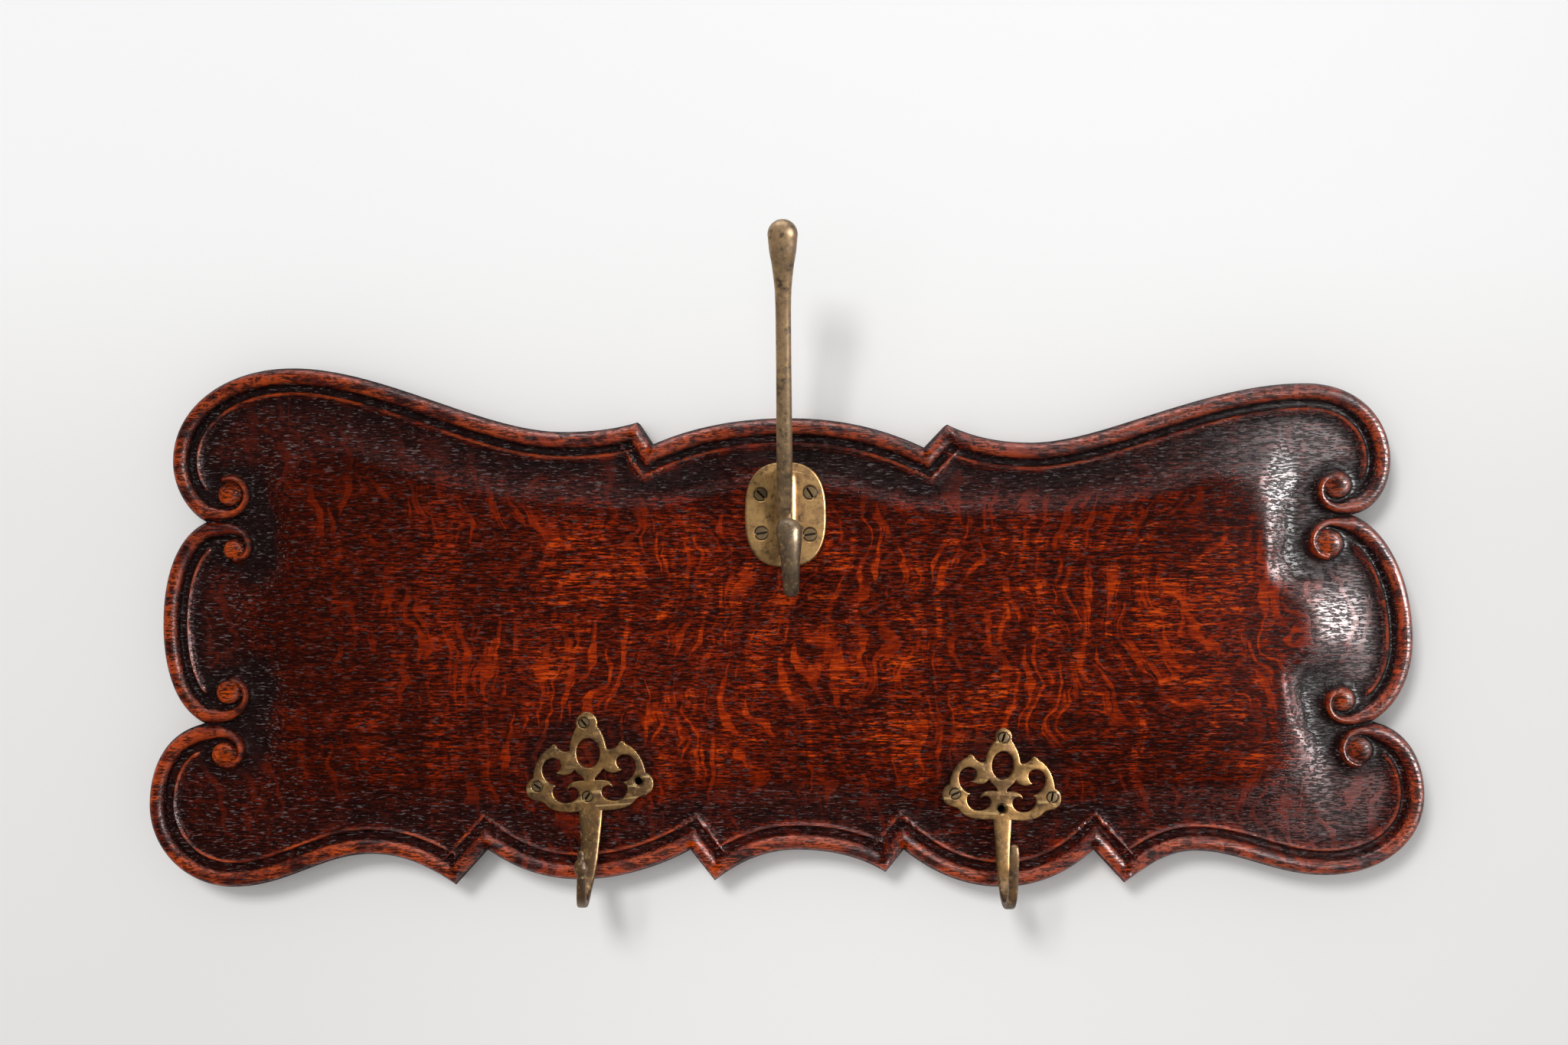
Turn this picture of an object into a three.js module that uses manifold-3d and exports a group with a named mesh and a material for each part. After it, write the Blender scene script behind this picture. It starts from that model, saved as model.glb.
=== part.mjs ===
// A wall rack for hats and coats: a carved oak board with a scrolled border, one tall hat hook
// and two coat hooks with pierced plates, each held by slotted countersunk screws.
// Millimetres. The origin is the centre of the board's flat back, +X is to the right,
// +Z is up, and the carved front faces -Y, away from the wall.
import * as THREE from "three";
import { mergeVertices } from "three/addons/utils/BufferGeometryUtils.js";
import Module from "manifold-3d";

const wasm = await Module();
wasm.setup();

// Board
const BOARD_WIDTH = 601; // across the lower lobes
const BOARD_HEIGHT = 244.5; // from the lowest edge to the top of the left lobe
const BOARD_THICKNESS = 22; // from the back to the raised field
const CARVING_DEPTH = 5.5; // the ground beside the moulding lies this far below the field
const BEAD_WIDTH = 8; // the round outer moulding
const BEAD_DROP = 0.4; // its crest lies this far below the field
const BEAD_STEP = 0.4; // a small step between the board's edge and the bead
const BEAD_FACETS = 5;
const FILLET_OFFSET = 12; // from the board's edge to the crest of the thin inner fillet
const FILLET_HEIGHT = 2.4;
const FILLET_OUTER_SLOPE = 1.4;
const FILLET_INNER_SLOPE = 3;
const SINK = 1.5; // a carved form reaches this far into the wood below it
const OUTLINE_TOLERANCE = 0.25; // how far a chord may leave the true curve

// Volutes: where the border meets itself at the sides, the bead curls round a domed eye
const EYE_HEIGHT = 5; // above the sunk ground
const EYE_SIDES = 12;
const VOLUTE_BEAD_WIDTH = 3.4; // where the bead runs into the eye
const VOLUTE_BEAD_SHARE = 0.72; // of the room between the curl's outer line and the eye
const VOLUTE_STEPS = 12;

// Raised field
const FIELD_GAP = 16; // from the board's edge to the foot of the field's slope
const VOLUTE_GAP = 3.5; // from a curl to the foot of the slope
const FIELD_SLOPE = 25; // width of the slope away from the hooks
const FIELD_SLOPE_AT_HOOK = 8; // and behind a hook plate, which rests on the flat
const FIELD_SLOPE_RINGS = 5;
const FIELD_SLOPE_LEAST = 6;
const HOOK_SPREAD = 45; // how far along the board a hook plate shortens the slope
const FOOT_SMOOTHING_COUNT = 1; // rays on each side that the foot of the slope is averaged over
const TOP_SMOOTHING_COUNT = 4; // and its upper edge
const SPINE_HALF = 190; // half the length of the line that the field spreads from
const SPINE_STEP = 10;
const FAN_STEP = 5; // degrees between rays round each end of the spine
const RAY_STEP = 1;

// Keyhole slots in the back, for two screws in the wall
const KEYHOLE_X = 180;
const KEYHOLE_Z = 45;
const KEYHOLE_ENTRY_RADIUS = 6;
const KEYHOLE_SLOT_WIDTH = 5;
const KEYHOLE_RISE = 14; // from the entry up to the seat
const KEYHOLE_DEPTH = 11;
const KEYHOLE_LIP = 4; // wood left under the wall screw's head
const KEYHOLE_SIDES = 20;

// Fit between pieces
const SEAT_GAP = 0.3;
const HEAD_CLEARANCE = 0.45; // round a screw's head in its countersink

// Hat hook, measured in its own frame from the middle of the plate's back
const HAT_HOOK_X = -0.66;
const HAT_HOOK_Z = 53.5;
const HAT_HOOK_TILT = -0.5; // degrees, its top leans to the left
const HAT_PLATE_WIDTH = 38;
const HAT_PLATE_HEIGHT = 49;
const HAT_PLATE_THICKNESS = 2.5;
const HAT_PLATE_BEVEL = 0.8;
const HAT_PLATE_SQUARENESS = 2.6;
const HAT_PLATE_SIDES = 36;
const HAT_SCREW_HEAD = 6.5;
const HAT_SCREW_SHANK = 3.6;
const HAT_SCREW_LENGTH = 17;
const HAT_RIB_WIDTH = 11.5; // the soft mound on the plate that carries arm and prong
const HAT_ARM_X = -0.3; // the arm stands a little left of the plate's middle
const HAT_KNOB_WIDTH = 13.3;
const HAT_ARM_WIDTH = 6.9;
const HAT_ARM_DEPTH = 6.6;
const HAT_PRONG_X = 2.2; // and the prong's lowest part to the right of it
const HAT_PRONG_KNOB = 11.8;
const HAT_PRONG_WIDTH = 7.1;
const HAT_REACH = 58; // from the plate's back out to the middle of the knob
const HAT_RISE = 122; // from the middle of the plate up to the middle of the knob
const HAT_PRONG_REACH = 42; // from the plate's back to the middle of the lower knob
const BAR_SIDES = 12;
const TIP_ANGLES = [30, 55, 78]; // rings of the round end of a bar

// Coat hooks, measured from the middle of each plate's oval opening
const COAT_PLATE_THICKNESS = 2.2;
const COAT_SCREW_HEAD = 5.2;
const COAT_SCREW_SHANK = 3;
const COAT_SCREW_LENGTH = 14;
const COAT_HOOK_REACH = 39; // from the plate's back to the middle of the prong
const COAT_PRONG_WIDTH = 4.3;
const DRAWN_PLATE_WIDTH = 55; // the size at which the pierced plate is drawn below
const DRAWN_PLATE_HEIGHT = 42;
const OVAL_HALF_WIDTH = 5.1;
const OVAL_HALF_HEIGHT = 6.4;
const LEFT_HOOK_X = -93;
const LEFT_HOOK_Z = -58.1;
const LEFT_PLATE_WIDTH = 59.5;
const LEFT_PLATE_HEIGHT = 45.5;
const LEFT_HOOK_DROP = 67.8; // from the oval's middle down to the underside of the hook
const LEFT_HOOK_TIP = 41.2; // and down to the end of the prong
const LEFT_STEM_WIDTH = 11.2;
const LEFT_TIP_WIDTH = 5.3;
const RIGHT_HOOK_X = 101;
const RIGHT_HOOK_Z = -63.8;
const RIGHT_PLATE_WIDTH = 55.5;
const RIGHT_PLATE_HEIGHT = 43;
const RIGHT_HOOK_DROP = 62.8;
const RIGHT_HOOK_TIP = 32.2;
const RIGHT_STEM_WIDTH = 8.6;
const RIGHT_TIP_WIDTH = 4.4;

// Screws
const SCREW_SIDES = 12;
const SLOT_WIDTH = 1;
const SLOT_DEPTH = 0.9;
const HEAD_RECESS = 0.1; // the head's face lies this far below the plate's
const PILOT_SIDES = 12;

const OAK = new THREE.MeshStandardMaterial({ color: 0x5a1f10, roughness: 0.35, metalness: 0 });
const BRASS = new THREE.MeshStandardMaterial({ color: 0x8a6c35, roughness: 0.4, metalness: 1 });
const DULL_BRASS = new THREE.MeshStandardMaterial({ color: 0x7a6a4a, roughness: 0.5, metalness: 1 });

// The outline is drawn at this size, and stretched to the board's own
const DRAWN_WIDTH = 601;
const DRAWN_HEIGHT = 244.5;

// The board's edge, clockwise, as four mouldings that meet at the side notches. Each is a
// start point and then straight runs [x, z] and cubic curves [handle, handle, end].
const TOP_EDGE = {
  start: [-273.5, 50],
  runs: [
    [[-280.5, 53], [-289.5, 64], [-289.5, 78.5]],
    [[-289.5, 104], [-265.5, 122.5], [-233, 122.5]],
    [[-190.5, 122.5], [-143.5, 92.5], [-105.5, 92.5]],
    [[-91.5, 92.5], [-80.5, 94], [-70.5, 97]],
    [-63.5, 86.5],
    [[-44.5, 95], [-22.5, 99], [0.5, 99]],
    [[23, 99], [44, 95], [65, 85]],
    [75.5, 96],
    [[85.5, 91], [98, 87.5], [115, 87.5]],
    [[149.5, 87.5], [196.5, 115.5], [244.5, 115.5]],
    [[269.5, 115.5], [284.5, 99], [284.5, 79.5]],
    [[284.5, 65], [276.5, 55], [266, 53.5]],
  ],
};
const RIGHT_EDGE = {
  start: [266, 53.5],
  runs: [
    [[283, 47.5], [295, 23.5], [295, -5.5]],
    [[295, -23.5], [287, -38], [275.5, -44]],
  ],
};
const BOTTOM_EDGE = {
  start: [275.5, -44],
  runs: [
    [[292, -47], [300.5, -61.5], [300.5, -78.5]],
    [[300.5, -101], [280.5, -116.5], [254, -116.5]],
    [[230, -116.5], [213.5, -105], [192.5, -105]],
    [[178, -105], [168.5, -113.5], [159, -120]],
    [144.5, -104.5],
    [[132.5, -115.5], [118, -122], [101, -122]],
    [[84.5, -122], [69.5, -116], [55, -104.5]],
    [46.5, -115],
    [[33, -107], [19, -104.5], [4.5, -104.5]],
    [[-10, -104.5], [-22.5, -110], [-34, -119]],
    [-45.5, -104.5],
    [[-57, -111], [-77, -118.5], [-97.5, -118.5]],
    [[-116.5, -118.5], [-130, -112], [-141, -104.5]],
    [-156, -121],
    [[-169, -112], [-181.5, -106.5], [-196, -106.5]],
    [[-219.5, -106.5], [-235.5, -122], [-261, -122]],
    [[-284.5, -122], [-300.5, -103], [-300.5, -83]],
    [[-300.5, -63], [-291, -48], [-274, -45]],
  ],
};
const LEFT_EDGE = {
  start: [-274, -45],
  runs: [
    [[-287, -39.5], [-294, -21.5], [-294, 2]],
    [[-294, 24.5], [-288, 43.5], [-273.5, 50]],
  ],
};

// Each moulding ends in a curl about an eye: the eye's centre and radius, the curl's outer
// radius where it settles and where it ends, how far it turns and how soon it settles, in
// degrees.
const MOULDINGS = [
  {
    edge: TOP_EDGE,
    first: { eye: [-262, 63], eyeRadius: 6, from: 10, to: 9.2, turn: 250, settle: 35 },
    last: { eye: [259, 67.5], eyeRadius: 6.7, from: 15, to: 6.5, turn: 180, settle: 20 },
  },
  {
    edge: RIGHT_EDGE,
    first: { eye: [255, 40], eyeRadius: 7, from: 12, to: 8, turn: 220, settle: 20 },
    last: { eye: [261.5, -33.5], eyeRadius: 6, from: 13.5, to: 6.6, turn: 200, settle: 20 },
  },
  {
    edge: BOTTOM_EDGE,
    first: { eye: [269, -57], eyeRadius: 6.7, from: 10.6, to: 8.8, turn: 215, settle: 20 },
    last: { eye: [-264.5, -59.5], eyeRadius: 6.4, from: 13, to: 7, turn: 210, settle: 35 },
  },
  {
    edge: LEFT_EDGE,
    first: { eye: [-262.5, -30], eyeRadius: 6.2, from: 13.5, to: 7.4, turn: 210, settle: 35 },
    last: { eye: [-260, 37], eyeRadius: 5.3, from: 12, to: 6.3, turn: 230, settle: 35 },
  },
];

const onBoard = ([x, z]) => [(x * BOARD_WIDTH) / DRAWN_WIDTH, (z * BOARD_HEIGHT) / DRAWN_HEIGHT];
const radians = THREE.MathUtils.degToRad;

// A closed mesh as a solid that can be cut and joined.
function solidOf(geometry) {
  const bare = new THREE.BufferGeometry();
  const loose = geometry.index ? geometry.toNonIndexed() : geometry;
  bare.setAttribute("position", loose.getAttribute("position").clone());
  const merged = mergeVertices(bare, 1e-4);
  return new wasm.Manifold(
    new wasm.Mesh({
      numProp: 3,
      vertProperties: merged.attributes.position.array,
      triVerts: new Uint32Array(merged.index.array),
    }),
  );
}

function geometryOf(solid) {
  const mesh = solid.getMesh();
  const geometry = new THREE.BufferGeometry();
  geometry.setAttribute("position", new THREE.BufferAttribute(mesh.vertProperties, 3));
  geometry.setIndex(new THREE.BufferAttribute(mesh.triVerts, 1));
  const flat = geometry.toNonIndexed();
  flat.computeVertexNormals();
  return flat;
}

// A solid skin over rings of equally many points, with both ends closed by flat fans.
function loft(rings) {
  const count = rings[0].length;
  const positions = rings.flat(2);
  const index = [];
  for (let r = 0; r + 1 < rings.length; r++) {
    for (let i = 0; i < count; i++) {
      const j = (i + 1) % count;
      const [a, b, c, d] = [r * count + i, r * count + j, (r + 1) * count + j, (r + 1) * count + i];
      index.push(a, b, c, a, c, d);
    }
  }
  const capOf = (ring) => {
    const contour = flatten(ring);
    return THREE.ShapeUtils.triangulateShape(contour, []);
  };
  const lastRing = (rings.length - 1) * count;
  for (const [a, b, c] of capOf(rings[0])) index.push(a, c, b);
  for (const [a, b, c] of capOf(rings.at(-1))) index.push(lastRing + a, lastRing + b, lastRing + c);
  const geometry = new THREE.BufferGeometry();
  geometry.setAttribute("position", new THREE.Float32BufferAttribute(positions, 3));
  geometry.setIndex(index);
  let solid = solidOf(geometry);
  if (solid.volume() < 0) {
    for (let i = 0; i < index.length; i += 3) [index[i], index[i + 1]] = [index[i + 1], index[i]];
    geometry.setIndex(index);
    solid = solidOf(geometry);
  }
  return solid;
}

// A ring of points seen along its own normal, so that it can be filled with triangles.
function flatten(ring) {
  const points = ring.map((p) => new THREE.Vector3(...p));
  const normal = new THREE.Vector3();
  points.forEach((p, i) => normal.add(p.clone().cross(points[(i + 1) % points.length])));
  normal.normalize();
  const side = Math.abs(normal.y) < 0.9 ? new THREE.Vector3(0, 1, 0) : new THREE.Vector3(1, 0, 0);
  const across = side.cross(normal).normalize();
  const up = normal.clone().cross(across);
  return points.map((p) => new THREE.Vector2(p.dot(across), p.dot(up)));
}

// Joins two points and two handles by as few chords as the tolerance allows.
function flattenCurve(from, [handleA, handleB, to], out) {
  const curve = new THREE.CubicBezierCurve(
    ...[from, handleA, handleB, to].map((p) => new THREE.Vector2(...p)),
  );
  const split = (t0, t1) => {
    const [a, b] = [curve.getPoint(t0), curve.getPoint(t1)];
    const along = b.clone().sub(a);
    const bulge = [0.25, 0.5, 0.75].map((t) => {
      const p = curve.getPoint(t0 + (t1 - t0) * t).sub(a);
      return Math.abs(p.cross(along)) / along.length();
    });
    if (Math.max(...bulge) < OUTLINE_TOLERANCE) {
      out.push([b.x, b.y]);
      return;
    }
    split(t0, (t0 + t1) / 2);
    split((t0 + t1) / 2, t1);
  };
  split(0, 0.5);
  split(0.5, 1);
}

function edgePoints(edge) {
  const points = [onBoard(edge.start)];
  for (const run of edge.runs) {
    if (typeof run[0] === "number") points.push(onBoard(run));
    else flattenCurve(points.at(-1), run.map(onBoard), points);
  }
  return points;
}

// For each point of a clockwise line, the vector that carries a line set in by 1 mm past it,
// so that parallel lines stay parallel and meet in a mitre at each corner.
function mitres(points, closed) {
  const normalBetween = (a, b) => {
    const length = Math.hypot(b[0] - a[0], b[1] - a[1]);
    return [(b[1] - a[1]) / length, -(b[0] - a[0]) / length];
  };
  return points.map((point, i) => {
    const before = points[i - 1] ?? (closed ? points.at(-1) : null);
    const after = points[i + 1] ?? (closed ? points[0] : null);
    const n1 = normalBetween(before ?? point, before ? point : after);
    const n2 = after ? normalBetween(point, after) : n1;
    const spread = Math.max(0.4, 1 + n1[0] * n2[0] + n1[1] * n2[1]);
    return [(n1[0] + n2[0]) / spread, (n1[1] + n2[1]) / spread];
  });
}

// The outer line of a curl, from its notch inwards, with the bead's width at each point.
function curl({ eye, eyeRadius, from, to, turn, settle }, notch, direction) {
  const centre = onBoard(eye);
  const start = Math.atan2(notch[1] - centre[1], notch[0] - centre[0]);
  const reach = Math.hypot(notch[0] - centre[0], notch[1] - centre[1]);
  return Array.from({ length: VOLUTE_STEPS }, (_, k) => {
    const turned = (turn * (k + 1)) / VOLUTE_STEPS;
    const ease = Math.exp(-turned / settle);
    const radius = from + ((to - from) * turned) / turn + (reach - from) * ease;
    const angle = start + direction * radians(turned);
    const inner = Math.max(VOLUTE_BEAD_WIDTH, VOLUTE_BEAD_SHARE * (radius - eyeRadius));
    return {
      at: [centre[0] + radius * Math.cos(angle), centre[1] + radius * Math.sin(angle)],
      width: Math.min(BEAD_WIDTH, inner + (BEAD_WIDTH - inner) * ease),
    };
  });
}

// The bead: a half round swept along the edge and round both curls, mitred at each corner.
function beadSolid({ edge, first, last }) {
  const along = edgePoints(edge).map((at) => ({ at, width: BEAD_WIDTH }));
  const stations = [
    ...curl(first, along[0].at, 1).reverse(),
    ...along,
    ...curl(last, along.at(-1).at, -1),
  ];
  const inward = mitres(stations.map((s) => s.at), false);
  const ground = BOARD_THICKNESS - CARVING_DEPTH;
  const height = CARVING_DEPTH - BEAD_DROP;
  const rings = stations.map(({ at, width }, i) => {
    const place = (offset, level) => [at[0] + inward[i][0] * offset, -level, at[1] + inward[i][1] * offset];
    const ring = [place(BEAD_STEP, ground - SINK)];
    for (let k = 0; k <= BEAD_FACETS; k++) {
      const angle = (Math.PI * k) / BEAD_FACETS;
      const offset = BEAD_STEP + ((width - BEAD_STEP) * (1 - Math.cos(angle))) / 2;
      ring.push(place(offset, ground + height * Math.sin(angle) ** 0.8));
    }
    ring.push(place(width, ground - SINK));
    return ring;
  });
  return loft(rings);
}

// The thin fillet that runs inside the bead and dies away beside each eye.
function filletSolid({ edge, first, last }) {
  const points = edgePoints(edge);
  const inward = mitres(points, false);
  const ground = BOARD_THICKNESS - CARVING_DEPTH;
  const clearOf = ([x, z], { eye, eyeRadius }) => {
    const [ex, ez] = onBoard(eye);
    return Math.hypot(x - ex, z - ez) > eyeRadius + FILLET_OUTER_SLOPE + FILLET_INNER_SLOPE;
  };
  const kept = points
    .map((p, i) => ({ p, n: inward[i] }))
    .filter(({ p, n }) => {
      const crest = [p[0] + n[0] * FILLET_OFFSET, p[1] + n[1] * FILLET_OFFSET];
      return clearOf(crest, first) && clearOf(crest, last);
    });
  const rings = kept.map(({ p, n }, i) => {
    const fromEnd = Math.min(i, kept.length - 1 - i);
    const height = FILLET_HEIGHT * Math.min(1, 0.25 + 0.4 * fromEnd);
    const place = (offset, level) => [p[0] + n[0] * offset, -level, p[1] + n[1] * offset];
    return [
      place(FILLET_OFFSET - FILLET_OUTER_SLOPE, ground - SINK),
      place(FILLET_OFFSET, ground + height),
      place(FILLET_OFFSET + FILLET_INNER_SLOPE, ground - SINK),
    ];
  });
  return loft(rings);
}

function eyeSolid({ eye, eyeRadius }) {
  const profile = [[0, -SINK], [1, -SINK], [1, EYE_HEIGHT * 0.2], [0.9, EYE_HEIGHT * 0.6]];
  profile.push([0.68, EYE_HEIGHT * 0.85], [0.36, EYE_HEIGHT * 0.97], [0, EYE_HEIGHT]);
  const dome = new THREE.LatheGeometry(
    profile.map(([r, level]) => new THREE.Vector2(r * eyeRadius, level)),
    EYE_SIDES,
  );
  const [x, z] = onBoard(eye);
  dome.rotateX(Math.PI);
  dome.translate(x, -(BOARD_THICKNESS - CARVING_DEPTH), z);
  return solidOf(dome);
}

function distanceToLine([x, z], line) {
  let nearest = Infinity;
  line.forEach(([ax, az], i) => {
    const [bx, bz] = line[(i + 1) % line.length];
    const [dx, dz] = [bx - ax, bz - az];
    const t = THREE.MathUtils.clamp(((x - ax) * dx + (z - az) * dz) / (dx * dx + dz * dz), 0, 1);
    nearest = Math.min(nearest, Math.hypot(x - ax - dx * t, z - az - dz * t));
  });
  return nearest;
}

// Rays go round the field, so the first follows the last.
const around = (list, i) => list[(i + list.length) % list.length];
const nearest = (list) => list.map((v, i) => Math.min(around(list, i - 1), v, around(list, i + 1)));

function smoothed(list, span) {
  return list.map((_, i) => {
    let sum = 0;
    for (let k = -span; k <= span; k++) sum += around(list, i + k);
    return sum / (2 * span + 1);
  });
}

// The field's slope is short behind a hook plate, which rests on the flat, and long elsewhere.
function slopeWidth([x, z]) {
  const hooks = [[HAT_HOOK_X, 1], ...COAT_HOOKS.map((hook) => [hook.x, -1])];
  const closeness = hooks.map(([hx, side]) => (side * z > 0 ? Math.exp(-(((x - hx) / HOOK_SPREAD) ** 2)) : 0));
  return FIELD_SLOPE + (FIELD_SLOPE_AT_HOOK - FIELD_SLOPE) * Math.max(...closeness);
}

// The raised field: a flat top whose slopes fall to the sunk ground beside the border. It is
// drawn along rays that leave a level spine and stop short of the border and its curls.
function fieldSolid(outline) {
  const volutes = MOULDINGS.flatMap(({ first, last }) => [first, last]);
  const clear = (point) =>
    distanceToLine(point, outline) > FIELD_GAP &&
    volutes.every(({ eye, from, to }) => {
      const [ex, ez] = onBoard(eye);
      return Math.hypot(point[0] - ex, point[1] - ez) > (from + to) / 2 + VOLUTE_GAP;
    });
  const rays = [];
  for (let x = -SPINE_HALF; x <= SPINE_HALF; x += SPINE_STEP) rays.push({ root: [x, 0], angle: 90 });
  for (let a = 90 - FAN_STEP; a > -90; a -= FAN_STEP) rays.push({ root: [SPINE_HALF, 0], angle: a });
  for (let x = SPINE_HALF; x >= -SPINE_HALF; x -= SPINE_STEP) rays.push({ root: [x, 0], angle: -90 });
  for (let a = 270 - FAN_STEP; a > 90; a -= FAN_STEP) rays.push({ root: [-SPINE_HALF, 0], angle: a });
  for (const ray of rays) {
    const way = [Math.cos(radians(ray.angle)), Math.sin(radians(ray.angle))];
    ray.at = (reach) => [ray.root[0] + way[0] * reach, ray.root[1] + way[1] * reach];
    ray.reach = RAY_STEP;
    while (clear(ray.at(ray.reach + RAY_STEP))) ray.reach += RAY_STEP;
  }
  const ground = BOARD_THICKNESS - CARVING_DEPTH;
  const foot = smoothed(nearest(rays.map((ray) => ray.reach)), FOOT_SMOOTHING_COUNT);
  const slopes = rays.map((ray, i) => slopeWidth(ray.at(foot[i])));
  const level = smoothed(nearest(foot.map((reach, i) => reach - slopes[i])), TOP_SMOOTHING_COUNT);
  const top = level.map((reach, i) => Math.min(reach, foot[i] - FIELD_SLOPE_LEAST));
  const ringAt = (share, height) =>
    rays.map((ray, i) => {
      const [x, z] = ray.at(foot[i] + (top[i] - foot[i]) * share);
      return [x, -height, z];
    });
  const rings = [ringAt(0, ground - SINK)];
  for (let k = 0; k <= FIELD_SLOPE_RINGS; k++) {
    const share = k / FIELD_SLOPE_RINGS;
    rings.push(ringAt(share, ground + (CARVING_DEPTH * (1 - Math.cos(Math.PI * share))) / 2));
  }
  return loft(rings);
}

// A round bore along Y, from one depth behind the front to another.
function bore(x, z, radius, fromY, toY, sides = PILOT_SIDES) {
  const cylinder = new THREE.CylinderGeometry(radius, radius, Math.abs(toY - fromY), sides);
  cylinder.translate(x, (fromY + toY) / 2, z);
  return solidOf(cylinder);
}

function keyholeSolid(x, z) {
  const entry = bore(x, z, KEYHOLE_ENTRY_RADIUS, SEAT_GAP, -KEYHOLE_DEPTH, KEYHOLE_SIDES);
  const lane = (width, nearY) => {
    const box = new THREE.BoxGeometry(width, KEYHOLE_DEPTH + nearY, KEYHOLE_RISE);
    box.translate(x, (nearY - KEYHOLE_DEPTH) / 2, z + KEYHOLE_RISE / 2);
    const end = bore(x, z + KEYHOLE_RISE, width / 2, nearY, -KEYHOLE_DEPTH, KEYHOLE_SIDES);
    return solidOf(box).add(end);
  };
  const slot = lane(KEYHOLE_SLOT_WIDTH, SEAT_GAP);
  const undercut = lane(2 * KEYHOLE_ENTRY_RADIUS - 2, -KEYHOLE_LIP);
  return entry.add(slot).add(undercut);
}

// A bar cast along a bent line. Each station is [y, z, width, depth] and, where the line is
// not straight from the front, x. Squareness 2 gives a round section and more a squarer one.
function barSolid(stations, steps, squareness) {
  const line = new THREE.CatmullRomCurve3(
    stations.map(([y, z, , , x = 0]) => new THREE.Vector3(x, y, z)),
  );
  const sizes = new THREE.CatmullRomCurve3(stations.map(([, , w, d]) => new THREE.Vector3(w, d, 0)));
  const rounded = (v) => Math.sign(v) * Math.abs(v) ** (2 / squareness);
  const rings = [];
  const addRing = (centre, normal, width, depth) => {
    const ring = Array.from({ length: BAR_SIDES }, (_, k) => {
      const angle = (2 * Math.PI * (k + 0.5)) / BAR_SIDES;
      const off = (rounded(Math.sin(angle)) * depth) / 2;
      const across = (rounded(Math.cos(angle)) * width) / 2;
      return [centre.x + across, centre.y + normal.y * off, centre.z + normal.z * off];
    });
    rings.push(ring);
  };
  const frameAt = (t) => {
    const tangent = line.getTangent(t);
    return { tangent, normal: new THREE.Vector3(0, -tangent.z, tangent.y) };
  };
  for (let s = 0; s <= steps; s++) {
    const t = s / steps;
    const size = sizes.getPoint(t);
    addRing(line.getPoint(t), frameAt(t).normal, size.x, size.y);
  }
  const { tangent, normal } = frameAt(1);
  const [, , tipWidth, tipDepth] = stations.at(-1);
  for (const angle of TIP_ANGLES) {
    const shrink = Math.cos(radians(angle));
    const centre = line.getPoint(1).addScaledVector(tangent, (tipWidth / 2) * Math.sin(radians(angle)));
    addRing(centre, normal, tipWidth * shrink, tipDepth * shrink);
  }
  return loft(rings);
}

// A countersunk hole through a plate, a little wider all round than the screw that sits in it.
function screwHole({ head, shank, thickness }, x, z) {
  const narrow = shank / 2 + SEAT_GAP;
  const wide = head / 2 + HEAD_CLEARANCE;
  const seat = new THREE.CylinderGeometry(narrow, wide, wide - narrow, SCREW_SIDES);
  seat.translate(x, -thickness + (wide - narrow) / 2, z);
  const mouth = bore(x, z, wide, -thickness - 1, -thickness);
  return bore(x, z, narrow, 1, -thickness).add(solidOf(seat)).add(mouth);
}

// A countersunk head has a 90 degree cone, so it is as deep as it is wider than its shank.
const headDepth = (head, shank) => (head - shank) / 2;

// A slotted screw whose face lies in the XZ plane at y = 0 and whose point is towards +Y.
function screwSolid(head, shank, length) {
  const depth = headDepth(head, shank);
  const profile = [
    [0, 0],
    [head / 2, 0],
    [shank / 2, -depth],
    [shank / 2, -length + shank],
    [0, -length],
  ];
  const turned = new THREE.LatheGeometry(
    profile.reverse().map(([r, y]) => new THREE.Vector2(r, y)),
    SCREW_SIDES,
  );
  turned.rotateX(Math.PI);
  const slot = new THREE.BoxGeometry(head + 1, 2 * SLOT_DEPTH, SLOT_WIDTH);
  return solidOf(turned).subtract(solidOf(slot));
}

const HAT_SCREW = { head: HAT_SCREW_HEAD, shank: HAT_SCREW_SHANK, thickness: HAT_PLATE_THICKNESS };
const COAT_SCREW = { head: COAT_SCREW_HEAD, shank: COAT_SCREW_SHANK, thickness: COAT_PLATE_THICKNESS };

// Screw places on the hat hook's plate, with the angle of each slot
const HAT_SCREWS = [
  { name: "hat_hook_screw_upper_left", x: -11.6, z: 9.6, slot: -45 },
  { name: "hat_hook_screw_upper_right", x: 11.4, z: 10.2, slot: -58 },
  { name: "hat_hook_screw_lower_left", x: -11.4, z: -8.6, slot: 10 },
  { name: "hat_hook_screw_lower_right", x: 11.2, z: -9.4, slot: 9 },
];

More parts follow.
